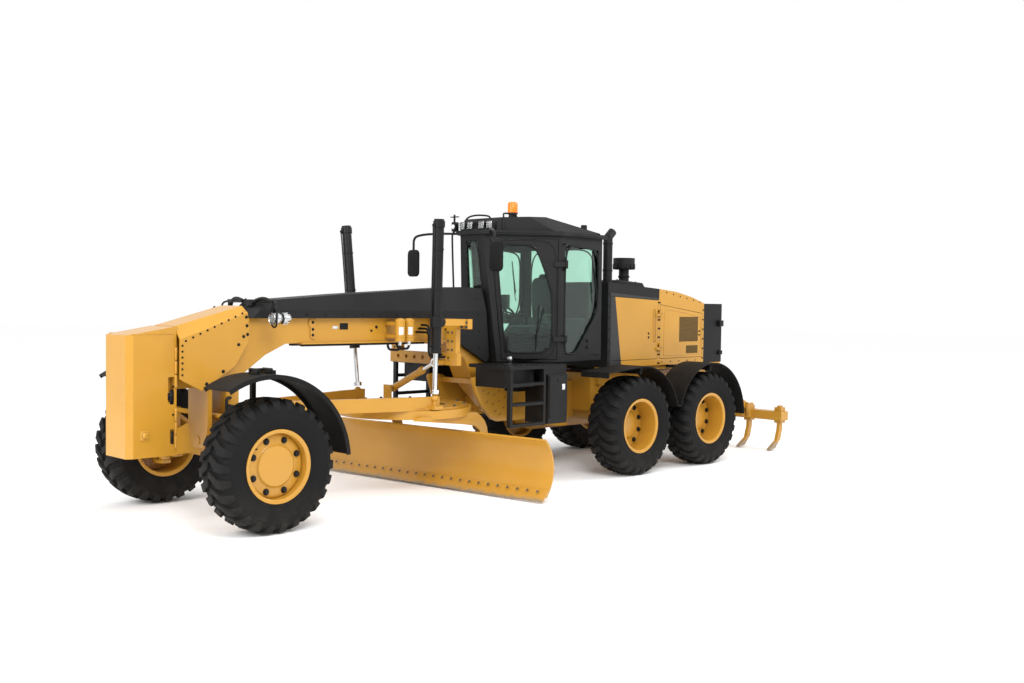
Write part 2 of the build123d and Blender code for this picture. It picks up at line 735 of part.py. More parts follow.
def lift_saddle():
    x0, x1 = saddle_x - saddle_half_x, saddle_x + saddle_half_x
    body = block(x0 - 60, x1 + 60, -beam_half_y - 50, beam_half_y + 50, beam_bottom_z - 40, beam_top_z + 60)
    body -= block(x0 - 61, x1 + 61, -beam_half_y, beam_half_y, beam_bottom_z, beam_top_z)
    body -= block(x0 - 61, x1 + 61, -flange_half_y, flange_half_y, beam_bottom_z - flange_wall, beam_bottom_z)
    body -= block(x0 - 61, x1 + 61, -236, 236, beam_top_z, beam_top_z + 100)
    for sign in (1, -1):
        y = saddle_offset_y + sign * trunnion_half_span
        outer = y + sign * 60
        low, high = sorted((sign * beam_half_y, outer))
        body += block(x0, x1, low, high, trunnion_z - 85, trunnion_z + 28)
        body += block(x1, trunnion_x - 92, y - 38, y + 38, trunnion_z - 45, trunnion_z + 28)
        body += bar((trunnion_x - 95, y, trunnion_z), (trunnion_x - 36, y, trunnion_z), trunnion_pin_radius)
        leg_in, leg_out = sorted((sign * 420, sign * 580))
        body += block(x0, x1, leg_in, leg_out, link_bar_low_z, trunnion_z)
    body += block(x0, x1, -600, 600, link_bar_low_z, link_bar_high_z)
    for y in (-450, -300, -150, 0, 150, 300, 450):
        body -= bar((x0 - 1, y, 1515), (x1 + 1, y, 1515), 25)
    body += bar((x1 - 5, shift_upper_y, shift_upper_z), (shift_plane_x - 30, shift_upper_y, shift_upper_z),
                34)
    body += bar((shift_plane_x - 32, shift_upper_y, shift_upper_z),
                (shift_plane_x + 24, shift_upper_y, shift_upper_z), shift_pin_radius)
    for x in (1800, 1930):
        body += bar((x, 400, 1725), (x, 400, 1965), 56)
        body += block(x - 30, x + 30, beam_half_y, 380, 1760, 1800)
        body += block(x - 30, x + 30, beam_half_y, 380, 1900, 1940)
    return body


def hoses():
    flange_low = beam_bottom_z - flange_wall
    body = []
    for x, drop in ((1800, 1640), (1930, 1628)):
        body.append(pipe([(x, 400, 1725), (x, 400, drop), (x, 185, drop), (x, 185, flange_low)], 14, 50))
    link_front = saddle_x + saddle_half_x
    # x beside the beam, height of the start, y where it turns down, height where it ends
    arcs = ((1420, 1900, 300, 1545), (1460, 1860, 340, 1560), (1500, 1820, 395, 1535))
    for x, start_z, y, end_z in arcs:
        body.append(pipe([(x, beam_half_y, start_z), (x, y, start_z), (x, y, end_z), (link_front, y, end_z)],
                         13, 60))
    for y in (-120, -84, 84, 120):
        body.append(bar((1350, y, flange_low - 13), (neck_x - 60, y, flange_low - 13), 13))
    plate_x = front_axle_x - beam_half_width - 35
    x = front_axle_x - 50
    for y, z in ((240, 1190), (290, 1110)):
        run = pipe([(plate_x, 190, z), (plate_x, y, z), (x, y, z), (x, y, 900)], 15, 22)
        body += [run, run.mirror(Plane.XZ)]
    return Compound(body)


def lift_frame(sign):
    """Place of one lift cylinder: its origin at the trunnion, its own z along the barrel."""
    y = saddle_offset_y + sign * trunnion_half_span
    lean = degrees(atan2(sign * lift_ball_y - y, trunnion_z - lift_ball_z))
    length = hypot(sign * lift_ball_y - y, trunnion_z - lift_ball_z)
    return Location((trunnion_x, y, trunnion_z), (lean, 0, 0)), length


def lift_barrel(sign):
    place, length = lift_frame(sign)
    body = bar((0, 0, -lift_barrel_down), (0, 0, lift_barrel_up), lift_barrel_radius)
    body += bar((0, 0, lift_barrel_up - 90), (0, 0, lift_barrel_up - 20), lift_barrel_radius + 10)
    body += bar((0, 0, -lift_barrel_down), (0, 0, -lift_barrel_down + 60), lift_barrel_radius + 6)
    body += bar((0, 0, -60), (0, 0, 60), lift_barrel_radius + 20)
    body += bar((-86, 0, 0), (0, 0, 0), 55)
    body -= bar((-87, 0, 0), (-35, 0, 0), trunnion_pin_radius + running_fit)
    body -= bar((0, 0, -lift_barrel_down - 1), (0, 0, lift_barrel_up - 60), lift_rod_radius + running_fit)
    return place * body


def lift_rod(sign):
    place, length = lift_frame(sign)
    end = -length + lift_ball_radius + rod_end_gap
    body = bar((0, 0, end), (0, 0, -lift_barrel_down + 620), lift_rod_radius)
    body += bar((0, 0, end), (0, 0, end + 46), 52)
    return place * body


def shift_frame():
    """Place of the centre shift cylinder: its origin at the upper pin, its own z towards the drawbar."""
    fall = degrees(atan2(shift_upper_z - shift_lower_z, shift_upper_y - shift_lower_y))
    length = hypot(shift_upper_z - shift_lower_z, shift_upper_y - shift_lower_y)
    return Location((shift_plane_x, shift_upper_y, shift_upper_z), (90 + fall, 0, 0)), length


def shift_bushing():
    place, length = shift_frame()
    sleeve = bar((-22, 0, 0), (22, 0, 0), shift_bushing_radius, shift_pin_radius + running_fit)
    return place * sleeve


def shift_rod():
    place, length = shift_frame()
    body = bar((0, 0, 34), (0, 0, 585), shift_ram_radius) + bar((-18, 0, 0), (18, 0, 0), 50)
    return place * (body - bar((-19, 0, 0), (19, 0, 0), shift_bushing_radius + running_fit))


def shift_barrel():
    place, length = shift_frame()
    body = bar((0, 0, 225), (0, 0, length - 36), 40) + bar((0, 0, 225), (0, 0, 275), 46)
    body += bar((-20, 0, length), (20, 0, length), 42)
    body -= bar((0, 0, 224), (0, 0, length - 75), shift_ram_radius + running_fit)
    return place * (body - bar((-21, 0, length), (21, 0, length), shift_pin_radius))


# Blade group

def drawbar_ball():
    return ball(drawbar_ball_x, 0, drawbar_ball_z, ball_joint_radius)


def drawbar():
    low = circle_top_z + circle_gap
    centre = (circle_x, 0)
    ring = bar((*centre, low), (*centre, low + 25), circle_outer_radius - 57, 500)
    # the sides taper from the shoulders over the circle to the neck behind the ball
    neck, shoulder = drawbar_ball_x - drawbar_neck_back, circle_x + drawbar_shoulder_ahead
    tail, taper = circle_x - 25, drawbar_ball_x - drawbar_neck_back - circle_x - drawbar_shoulder_ahead
    sides = ((neck, 105), (shoulder, 645), (tail, 700), (tail, -700), (shoulder, -645), (neck, -105))
    plate = slab("xy", sides, low, low + 25)
    plate -= bar((*centre, low - 1), (*centre, low + 26), 500)
    base, tip = shoulder + taper / 7, neck - taper * drawbar_opening_share
    plate -= slab("xy", ((tip, 0), (base, 300), (base, -300)), low - 1, low + 26)
    body = ring + plate
    web = slab("xy", ((neck, 105), (shoulder, 645), (shoulder, 600), (neck, 60)), low + 25, low + 150)
    body += web + web.mirror(Plane.XZ)
    web_end = circle_x + 75
    body += both_sides(slab("xy", ((shoulder, 645), (web_end, 700), (web_end, 655), (shoulder, 600)),
                            low + 25, low + 150))
    # socket around the ball at the front
    socket = bar((drawbar_ball_x - 130, 0, drawbar_ball_z), (drawbar_ball_x - 22, 0, drawbar_ball_z), 95)
    socket += block(neck - 120, neck + 40, -105, 105, drawbar_ball_z - 60, low + 150)
    body = body + socket
    body -= ball(drawbar_ball_x, 0, drawbar_ball_z, ball_joint_radius + running_fit)
    for sign in (1, -1):
        low_y, high_y = sorted((sign * 600, sign * 770))
        body += block(trunnion_x - 65, trunnion_x + 65, low_y, high_y, low + 10, low + 50)
        stud = (trunnion_x, sign * lift_ball_y)
        body += bar((*stud, low + 40), (*stud, lift_ball_z), 24)
        body += ball(*stud, lift_ball_z, lift_ball_radius)
    body += block(shift_plane_x - 60, shift_plane_x + 110, -560, 560, low, low + 25)
    body += block(shift_plane_x + 70, shift_plane_x + 100, shift_lower_y - 60, shift_lower_y + 60, low + 10,
                  shift_lower_z + 45)
    return body


def circle_place():
    return Location((circle_x, 0, 0), (0, 0, blade_angle))


def circle():
    body = bar((0, 0, circle_bottom_z), (0, 0, circle_top_z), circle_outer_radius, circle_inner_radius)
    arm = (
        (560, circle_bottom_z), (60, 812), (-250, 775), (-420, 748), (-505, 690), (-538, 600), (-552, 420),
        (-556, 230), (-570, 160), (-635, 160), (-652, 260), (-668, 480), (-664, 600), (-640, 715),
        (-596, 795),
        (-520, 862), (-440, circle_bottom_z + 35), (480, circle_bottom_z + 35),
    )
    body += both_sides(slab("xz", arm, arm_inner_y, arm_outer_y))
    body += both_sides(bar((tip_pivot_x, arm_inner_y - 6, tip_pivot_z),
                           (tip_pivot_x, arm_outer_y + 10, tip_pivot_z), tip_boss_radius))
    body += bar((-470, -arm_inner_y, 825), (-470, arm_inner_y, 825), 38)
    body -= bar((tip_pivot_x, -800, tip_pivot_z), (tip_pivot_x, 800, tip_pivot_z),
                tip_pin_radius + running_fit)
    return circle_place() * body


def blade_back_at(z):
    """X of the moldboard's rear face at height z, before the blade is turned."""
    return blade_centre_x - sqrt((blade_radius + blade_wall) ** 2 - (z - blade_centre_z) ** 2)


def tip_brackets():
    front = rail_back_x - 0.5
    inner_hook = rail_height / 2 + 19
    hook_back = min(blade_back_at(upper_rail_z - inner_hook), blade_back_at(lower_rail_z + inner_hook))
    hook_x = hook_back - hook_clearance
    plate = block(-650, front, bracket_inner_y, bracket_outer_y, 150, 625)
    plate -= bar((shift_cylinder_x, 500, shift_cylinder_z), (shift_cylinder_x, 800, shift_cylinder_z),
                 shift_barrel_radius + 8)
    for rail_z in (upper_rail_z, lower_rail_z):
        for z0 in (rail_z + rail_height / 2 + 1, rail_z - rail_height / 2 - 19):
            plate += block(front - 30, hook_x, bracket_inner_y, bracket_outer_y, z0, z0 + 18)
    body = both_sides(plate)
    body += bar((-600, -bracket_inner_y, 480), (-600, bracket_inner_y, 480), 30)
    for sign in (1, -1):
        body += bar((tip_pivot_x, sign * bracket_inner_y, tip_pivot_z),
                    (tip_pivot_x, sign * (arm_outer_y + 12), tip_pivot_z),
                    tip_pin_radius)
    body += block(-560, -460, bracket_inner_y - 30, bracket_inner_y, shift_cylinder_z - 60,
                  shift_cylinder_z + 60)
    body += bar((shift_cylinder_x, shift_rod_far_y, shift_cylinder_z),
                (shift_cylinder_x, bracket_inner_y, shift_cylinder_z), shift_rod_radius)
    return circle_place() * body


def moldboard_section():
    def on(angle, radius):
        return (blade_centre_x + radius * cos(radians(angle)), blade_centre_z + radius * sin(radians(angle)))
    inner, outer = blade_radius, blade_radius + blade_wall
    middle = (blade_low_angle + blade_high_angle) / 2
    low_in, high_in = on(blade_low_angle, inner), on(blade_high_angle, inner)
    low_out, high_out = on(blade_low_angle, outer), on(blade_high_angle, outer)

    def at(p):
        return Vector(p[0], 0, p[1])
    edges = [
        Edge.make_three_point_arc(at(low_in), at(on(middle, inner)), at(high_in)),
        Edge.make_line(at(high_in), at(high_out)),
        Edge.make_three_point_arc(at(high_out), at(on(middle, outer)), at(low_out)),
        Edge.make_line(at(low_out), at(low_in)),
    ]
    return Face(Wire(edges))


def moldboard():
    half = blade_length / 2
    plate = Solid.extrude(moldboard_section(), Vector(0, blade_length, 0))
    plate = Pos(0, -half, 0) * plate
    # the cutting edge is bolted to the front of the lower lip and runs on along its tangent
    tip_x = blade_centre_x + blade_radius * cos(radians(blade_low_angle))
    tip_z = blade_centre_z + blade_radius * sin(radians(blade_low_angle))
    ax, az = -sin(radians(blade_low_angle)), cos(radians(blade_low_angle))
    nx, nz = -cos(radians(blade_low_angle)), -sin(radians(blade_low_angle))
    back = 72.0
    edge = (
        (tip_x - ax * back, tip_z - az * back), (tip_x + ax * edge_reach, tip_z + az * edge_reach),
        (tip_x + ax * edge_reach + nx * edge_wall, tip_z + az * edge_reach + nz * edge_wall),
        (tip_x - ax * back + nx * edge_wall, tip_z - az * back + nz * edge_wall),
    )
    body = plate + slab("xz", edge, -half, half)
    for rail_z in (upper_rail_z, lower_rail_z):
        body += block(rail_back_x, rail_back_x + rail_depth, -rail_half_length, rail_half_length,
                      rail_z - rail_height / 2, rail_z + rail_height / 2)
    far, near = shift_barrel_far_y, shift_barrel_near_y
    body += bar((shift_cylinder_x, far, shift_cylinder_z), (shift_cylinder_x, near, shift_cylinder_z),
                shift_barrel_radius)
    body += block(shift_cylinder_x - 30, blade_back_x + 5, far + 20, far + 80, shift_cylinder_z - 35,
                  shift_cylinder_z + 35)
    body -= bar((shift_cylinder_x, far + 40, shift_cylinder_z),
                (shift_cylinder_x, near + 1, shift_cylinder_z),
                shift_rod_radius + running_fit)
    box = body.bounding_box()
    centring = -(box.max.X + box.min.X) / 2 * tan(radians(blade_angle))
    return circle_place() * Pos(0, centring, 0) * body


# Rear frame

def rear_frame():
    low, high = lower_ear_z + hinge_ear_wall + swing_gap, upper_ear_z - swing_gap
    body = bar((hinge_x, 0, low), (hinge_x, 0, high), hinge_collar_radius)
    body += block(-1320, hinge_x, -85, 85, low, high)
    body += block(-1400, -1300, -rail_outer_y, rail_outer_y, 760, rail_high_z)
    rail = block(rear_plate_x, -1390, rail_inner_y, rail_outer_y, rail_low_z, rail_high_z)
    rail += block(tandem_middle_x - 180, tandem_middle_x + 180, 250, rail_outer_y, axle_pad_z,
                  rail_low_z + 10)
    body += both_sides(rail)
    body += block(rear_plate_x - rear_plate_wall, rear_plate_x, -480, 480, 640, 1300)
    for x in (-3100, -3600):
        body += block(x, x + 90, -rail_inner_y, rail_inner_y, 980, 1060)
    # sills under the hood
    body += both_sides(block(rear_plate_x, hood_front_x + 10, rail_outer_y - 10, hood_rear_half_y, 1270,
                             hood_bottom_z))
    body += both_sides(block(-3300, -3200, rail_outer_y - 10, 430, 1100, 1290))
    body += both_sides(block(-1500, -1420, rail_outer_y - 10, 430, 1100, 1290))
    for sign in (1, -1):
        for y in (ripper_link_y - 66, ripper_link_y + 26):
            low_y, high_y = sorted((sign * y, sign * (y + 40)))
            body += block(ripper_link_front_x - 40, rear_plate_x - 20, low_y, high_y,
                          ripper_link_front_z - 60,
                          ripper_link_front_z + 60)
    body += block(rear_plate_x - rear_plate_wall, rear_plate_x, -640, 640, ripper_link_front_z - 60,
                  ripper_link_front_z + 60)
    for y in (-66, 26):
        body += block(ripper_barrel_x - 40, rear_plate_x - 20, y, y + 40, ripper_barrel_z - 50,
                      ripper_barrel_z + 50)
    body -= bar((hinge_x, 0, low - 1), (hinge_x, 0, high + 1), hinge_pin_radius + running_fit)
    for sign in (1, -1):
        body += bar((ripper_link_front_x, sign * (ripper_link_y - 66), ripper_link_front_z),
                    (ripper_link_front_x, sign * (ripper_link_y + 66), ripper_link_front_z),
                    ripper_pin_radius)
    body += bar((ripper_barrel_x, -66, ripper_barrel_z), (ripper_barrel_x, 66, ripper_barrel_z),
                ripper_pin_radius)
    return body


def tandem_cases():
    body = bar((tandem_middle_x, -case_inner_y, axle_housing_z),
               (tandem_middle_x, case_inner_y, axle_housing_z),
               axle_housing_radius)
    body += both_sides(block(tandem_middle_x - 150, tandem_middle_x + 150, 250, rail_outer_y, axle_housing_z,
                             axle_pad_z))
    for sign in (1, -1):
        y0, y1 = sorted((sign * case_inner_y, sign * case_outer_y))
        case = block(tandem_middle_x - tandem_spacing / 2, tandem_middle_x + tandem_spacing / 2, y0, y1,
                     axle_z - case_radius, axle_z + case_radius)
        for end in (1, -1):
            x = tandem_middle_x + end * tandem_spacing / 2
            case += bar((x, y0, axle_z), (x, y1, axle_z), case_radius)
            disc = sign * (wheel_y + rear_disc_y - 60 - 5)
            case += bar((x, sign * case_outer_y, axle_z), (x, disc, axle_z), 130)
            case += bar((x, sign * case_outer_y, axle_z), (x, sign * (wheel_y + rear_disc_y), axle_z),
                        spindle_radius)
        body += case
    return body


def hood_solid(inset):
    outline = [
        (hood_front_x - inset, hood_bottom_z - (1 if inset else 0)), (hood_front_x - inset, 2460 - inset),
        (hood_post_x, 2390 - inset), (-3000, 2355 - inset), (-3400, 2285 - inset),
        (hood_rear_x + inset, 2200 - inset),
        (hood_rear_x + inset, hood_bottom_z - (1 if inset else 0)),
    ]
    plan = (
        (hood_front_x + 10, hood_front_half_y - inset), (hood_rear_x - 10, hood_rear_half_y - inset),
        (hood_rear_x - 10, -hood_rear_half_y + inset), (hood_front_x + 10, -hood_front_half_y + inset),
    )
    return slab("xz", outline, -700, 700) & slab("xy", plan, hood_bottom_z - 5, 2500)


def hood_walls():
    return hood_solid(0) - hood_solid(hood_wall)


# name, near edge at the middle post, free edge, top at the post, top at the free edge
service_doors = (
    ("front", hood_post_x + 30, hood_front_x - 62, service_door_high_z, service_door_high_z + 40),
    ("rear", hood_post_x - 30, hood_rear_x + 50, rear_door_high_z + 60, rear_door_high_z - 60),
)


def door_prism(row, grow):
    name, near, far, near_top, far_top = row
    step = grow if near > far else -grow
    outline = ((near + step, service_door_low_z - grow), (near + step, near_top + grow),
               (far - step, far_top + grow),
               (far - step, service_door_low_z - grow))
    return slab("xz", outline, 420, 700)


def hood_black_region():
    return slab("xz", ((hood_front_x + 5, 1300), (hood_front_x - 58, 1300), (hood_front_x - 58, 2320),
                       (hood_post_x + 5, 2260), (hood_post_x - 10, 2600), (hood_front_x + 5, 2600)), -700,
                       700)


def hood_with_openings():
    walls = hood_walls()
    for row in service_doors:
        walls -= both_sides(door_prism(row, door_gap))
    return walls


def hood_top():
    black = hood_with_openings() & hood_black_region()
    top = 2440
    black += bar((stack_x, stack_y, top), (stack_x, stack_y, stack_top_z - 90), stack_radius)
    black += bar((stack_x + 10, stack_y, stack_top_z - 110), (stack_x - 90, stack_y, stack_top_z - 20),
                 stack_radius - 4)
    black += bar((-2215, 200, 2400), (-2215, 200, 2660), 70)
    black += bar((-2215, 200, 2660), (-2215, 200, 2810), 150)
    return black


def hood_half_y(x):
    slope = (hood_front_half_y - hood_rear_half_y) / (hood_front_x - hood_rear_x + 20)
    return hood_front_half_y + (x - hood_front_x - 10) * slope


def hood_shell():
    body = hood_with_openings() - hood_black_region()
    x, surface = hood_post_x, hood_half_y(hood_post_x)
    pin_y = surface + service_hinge_out
    for z in service_hinge_heights:
        lugs = block(x - 9, x + 9, surface - 10, pin_y + 14, z - 15, z - 1)
        lugs += block(x - 9, x + 9, surface - 10, pin_y + 14, z + 81, z + 95)
        body += both_sides(lugs + bar((x, pin_y, z - 15), (x, pin_y, z + 95), hinge_pin))
    return body


def service_door(row):
    body = hood_walls() & door_prism(row, 0)
    front = row[1] > hood_post_x
    x, pin_y = hood_post_x, hood_half_y(hood_post_x) + service_hinge_out
    reach = 75 if front else -75
    x0, x1 = sorted((x, x + reach))
    foot0, foot1 = sorted((x + reach, x + reach * 0.55))
    for height in service_hinge_heights:
        z = height + (0 if front else 42)
        strap = bar((x, pin_y, z), (x, pin_y, z + 38), 15) + block(x0, x1, pin_y - 6, pin_y + 6, z, z + 38)
        strap += block(foot0, foot1, pin_y - service_hinge_out - 8, pin_y + 6, z, z + 38)
        body += strap - bar((x, pin_y, z - 1), (x, pin_y, z + 39), hinge_pin + running_fit)
    return body if front else louvred(body)


# rear end, front end, bottom, top, slats of each grille in the rear service doors
grilles = ((-3560, -3080, 1650, 2000, 10), (-3560, -3260, 1480, 1590, 3))


def louvred(door):
    pocket_skin = hood_solid(-1) - hood_solid(grille_depth)
    slat_skin = hood_solid(2) - hood_solid(grille_depth + 1)
    for x0, x1, z0, z1, count in grilles:
        door -= pocket_skin & block(x0, x1, 400, 700, z0, z1)
        pitch = (z1 - z0) / count
        for index in range(count):
            low = z0 + pitch * (index + 0.3)
            door += slat_skin & block(x0 - 1, x1 + 1, 400, 700, low, low + pitch * 0.4)
    return door


def engine_block():
    body = block(-2900, -1700, -280, 280, 1000, 1960)
    for x in (-2800, -1900):
        body += both_sides(block(x, x + 120, 270, rail_outer_y - 15, rail_high_z, rail_high_z + 40))
    return body


def radiator_guard():
    front = hood_rear_x
    body = block(rear_plate_x - rear_plate_wall, front, -485, 485, hood_bottom_z, 2195)
    body -= block(rear_plate_x - rear_plate_wall + 30, front + 1, -455, 455, hood_bottom_z - 1, 2165)
    body -= block(rear_plate_x - rear_plate_wall - 1, rear_plate_x - rear_plate_wall + 31, -400, 400, 1400,
                  2080)
    for index in range(9):
        z = 1440 + index * 72
        body += block(rear_plate_x - rear_plate_wall + 2, rear_plate_x - rear_plate_wall + 24, -405, 405, z,
                      z + 26)
    return body


def rear_fenders():
    wall = fender_wall
    y0, y1 = rear_fender_inner_y, rear_fender_outer_y
    front_x = tandem_middle_x + tandem_spacing / 2
    back_x = tandem_middle_x - tandem_spacing / 2

    def ring(x):
        outer = bar((x, y0, axle_z), (x, y1, axle_z), rear_fender_radius)
        return outer - bar((x, y0 - 1, axle_z), (x, y1 + 1, axle_z), rear_fender_radius - wall)

    valley = 210.0
    reach = 1000
    first = ring(front_x) & slab("xz", ((front_x, axle_z + valley), (front_x - reach, axle_z + valley),
                                        (front_x - reach, 1500), (front_x + 10, 1500)), y0 - 1, y1 + 1)
    top = axle_z + rear_fender_radius
    first += slab("xz", ((front_x - 5, top - wall), (front_x - 5, top), (rear_fender_front_x, top - 60),
                         (rear_fender_front_x, top - 130), (rear_fender_front_x - wall, top - 130),
                         (rear_fender_front_x - wall, top - 60 - wall)), y0, y1)
    second = ring(back_x) & slab("xz", ((back_x, axle_z + valley), (back_x + reach, axle_z + valley),
                                        (back_x + reach, 1500),
                                        (back_x - reach, 1500), (back_x - reach, axle_z + 20),
                                        (back_x, axle_z + 20)),
                                 y0 - 1, y1 + 1)
    joint = block(back_x + 722, front_x - 722, y0, y1, axle_z + valley, axle_z + valley + wall)
    body = first + second + joint
    for x in (front_x, back_x):
        body += block(x - 20, x + 20, hood_rear_half_y, y1 - 60, hood_bottom_z - 42, hood_bottom_z - 2)
        body += block(x - 20, x + 20, y0 + 30, y1 - 60, hood_bottom_z - 2, top - wall + 2)
    return both_sides(body)


# Ripper

def ripper_links():
    front = (ripper_link_front_x, ripper_link_front_z)
    rear = (ripper_link_rear_x, ripper_link_rear_z)
    run = hypot(rear[0] - front[0], rear[1] - front[1])
    ux, uz = (rear[0] - front[0]) / run, (rear[1] - front[1]) / run
    half = 45
    outline = ((front[0] - uz * half, front[1] + ux * half), (rear[0] - uz * half, rear[1] + ux * half),
               (rear[0] + uz * half, rear[1] - ux * half), (front[0] + uz * half, front[1] - ux * half))
    link = slab("xz", outline, ripper_link_y - 20, ripper_link_y + 20)
    for x, z in (front, rear):
        link += bar((x, ripper_link_y - 20, z), (x, ripper_link_y + 20, z), half)
    body = both_sides(link)
    middle = ((front[0] + rear[0]) / 2, (front[1] + rear[1]) / 2)
    body += bar((middle[0], -ripper_link_y, middle[1]), (middle[0], ripper_link_y, middle[1]), 30)
    for x, z in (front, rear):
        body -= bar((x, -700, z), (x, 700, z), ripper_pin_radius + running_fit)
    return body


def ripper():
    body = block(rear_end_x, rear_end_x + 190, -ripper_beam_half_y, ripper_beam_half_y, ripper_beam_low_z,
                 ripper_beam_high_z)
    front = rear_end_x + 190
    for sign in (1, -1):
        for y in (ripper_link_y - 66, ripper_link_y + 26):
            y0, y1 = sorted((sign * y, sign * (y + 40)))
            body += slab("xz", ((front - 60, 460), (front + 40, 460),
                                (ripper_link_rear_x + 45, ripper_link_rear_z - 20),
                                (ripper_link_rear_x + 45, ripper_link_rear_z + 45),
                                (front - 60, ripper_link_rear_z + 45)), y0, y1)
        body += bar((ripper_link_rear_x, sign * (ripper_link_y - 66), ripper_link_rear_z),
                    (ripper_link_rear_x, sign * (ripper_link_y + 66), ripper_link_rear_z), ripper_pin_radius)
    # x, z of a curved shank, from its holder down to its point
    shank = ((rear_end_x + 55, 670), (rear_end_x + 135, 670), (rear_end_x + 140, 330),
             (rear_end_x + 200, 150),
             (shank_tip_x, shank_tip_z + 20), (shank_tip_x, shank_tip_z), (rear_end_x + 240, 40),
             (rear_end_x + 100, 170),
             (rear_end_x + 55, 330))
    for index in range(-2, 3):
        y = index * shank_spacing
        body += slab("xz", shank, y - 25, y + 25)
        body += block(rear_end_x + 30, rear_end_x + 160, y - 55, y + 55, ripper_beam_low_z - 40,
                      ripper_beam_high_z + 60)
    for y in (-66, 26):
        body += block(ripper_eye_x - 40, ripper_eye_x + 40, y, y + 40, ripper_beam_high_z - 30,
                      ripper_eye_z + 40)
    return body


def ripper_cylinder_frame():
    fall = degrees(atan2(ripper_barrel_z - ripper_eye_z, ripper_barrel_x - ripper_eye_x))
    length = hypot(ripper_barrel_z - ripper_eye_z, ripper_barrel_x - ripper_eye_x)
    return Location((ripper_barrel_x, 0, ripper_barrel_z), (0, -90 - fall, 0)), length


def ripper_barrel():
    place, length = ripper_cylinder_frame()
    body = bar((0, 0, 76), (0, 0, 480), 48) + bar((0, -20, 0), (0, 20, 0), 45)
    body += block(-34, 34, -20, 20, 0, 78)
    body -= bar((0, -21, 0), (0, 21, 0), ripper_pin_radius + running_fit)
    body -= bar((0, 0, 90), (0, 0, 481), 24 + running_fit)
    return place * body


def ripper_rod():
    place, length = ripper_cylinder_frame()
    body = bar((0, 0, 250), (0, 0, length - 20), 24) + bar((0, -20, length), (0, 20, length), 34)
    return place * (body - bar((0, -21, length), (0, 21, length), 20))


def main():
    os.makedirs("parts", exist_ok=True)
    save_wheels()
    makers = (
        ("front_axle", front_axle), ("tie_rod", tie_rod), ("front_frame", front_frame),
        ("frame_cover", frame_cover),
        ("nose_guard", nose_guard), ("push_block", push_block), ("cab_shell", cab_shell),
        ("cab_glass", cab_glass),
        ("operator_station", operator_station), ("side_steps", side_steps), ("mirrors", mirrors),
        ("lift_saddle", lift_saddle), ("centre_shift_barrel", shift_barrel), ("centre_shift_rod", shift_rod),
        ("centre_shift_bushing", shift_bushing), ("hoses", hoses),
        ("drawbar_ball", drawbar_ball), ("drawbar", drawbar), ("circle", circle),
        ("tip_brackets", tip_brackets),
        ("moldboard", moldboard), ("rear_frame", rear_frame), ("tandem_cases", tandem_cases),
        ("hood_shell", hood_shell),
        ("hood_top", hood_top), ("engine_block", engine_block), ("radiator_guard", radiator_guard),
        ("rear_fenders", rear_fenders), ("ripper_links", ripper_links), ("ripper", ripper),
        ("ripper_barrel", ripper_barrel), ("ripper_rod", ripper_rod),
    )
    for name, make in makers:
        save(name, make())
    paired = (("knuckle", knuckle), ("front_fender", front_fender), ("cab_door", cab_door),
              ("cab_door_glass", cab_door_glass))
    for name, make in paired:
        left = make()
        save(f"{name}_left", left)
        save(f"{name}_right", left.mirror(Plane.XZ))
    for row in service_doors:
        left = service_door(row)
        save(f"{row[0]}_service_door_left", left)
        save(f"{row[0]}_service_door_right", left.mirror(Plane.XZ))
    for side, sign in (("left", 1), ("right", -1)):
        save(f"lift_barrel_{side}", lift_barrel(sign))
        save(f"lift_rod_{side}", lift_rod(sign))


if __name__ == "__main__":
    main()
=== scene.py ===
import bpy
import bmesh
import math
from mathutils import Matrix, Vector


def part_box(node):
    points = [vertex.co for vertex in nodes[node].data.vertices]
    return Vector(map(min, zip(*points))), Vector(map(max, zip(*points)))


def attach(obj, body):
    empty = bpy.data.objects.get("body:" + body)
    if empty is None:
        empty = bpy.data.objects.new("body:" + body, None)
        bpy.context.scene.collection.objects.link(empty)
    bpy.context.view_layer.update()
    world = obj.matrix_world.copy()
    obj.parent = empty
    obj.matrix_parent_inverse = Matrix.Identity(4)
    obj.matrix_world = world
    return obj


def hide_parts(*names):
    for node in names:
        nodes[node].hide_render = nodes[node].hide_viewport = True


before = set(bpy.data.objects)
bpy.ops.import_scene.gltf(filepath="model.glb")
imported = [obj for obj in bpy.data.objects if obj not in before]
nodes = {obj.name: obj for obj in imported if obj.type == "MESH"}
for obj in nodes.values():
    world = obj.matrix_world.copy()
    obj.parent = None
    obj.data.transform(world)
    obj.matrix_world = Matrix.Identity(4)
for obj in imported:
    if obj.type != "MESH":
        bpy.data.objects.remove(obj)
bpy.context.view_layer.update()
print("frame loaded")

# shared effects
noiseLook = {"detail": 4.0, "roughness": 0.55}


def startGroup(name, inputs, outputs):
    group = bpy.data.node_groups.new(name, "ShaderNodeTree")
    for label, kind, value in inputs:
        group.interface.new_socket(name=label, in_out="INPUT", socket_type=kind).default_value = value
    for label, kind in outputs:
        group.interface.new_socket(name=label, in_out="OUTPUT", socket_type=kind)
    return group, group.nodes.new("NodeGroupInput"), group.nodes.new("NodeGroupOutput")


def addNode(tree, kind, **settings):
    node = tree.nodes.new(kind)
    for key, value in settings.items():
        if key in node.inputs:
            node.inputs[key].default_value = value
        else:
            setattr(node, key, value)
    return node


def feed(tree, node, socket, source):
    if hasattr(source, "links"):
        tree.links.new(source, node.inputs[socket])
    else:
        node.inputs[socket].default_value = source


def addNoise(tree, scale, vector):
    node = addNode(tree, "ShaderNodeTexNoise", Scale=scale, Detail=noiseLook["detail"],
                   Roughness=noiseLook["roughness"])
    tree.links.new(vector, node.inputs["Vector"])
    return node.outputs["Fac"]


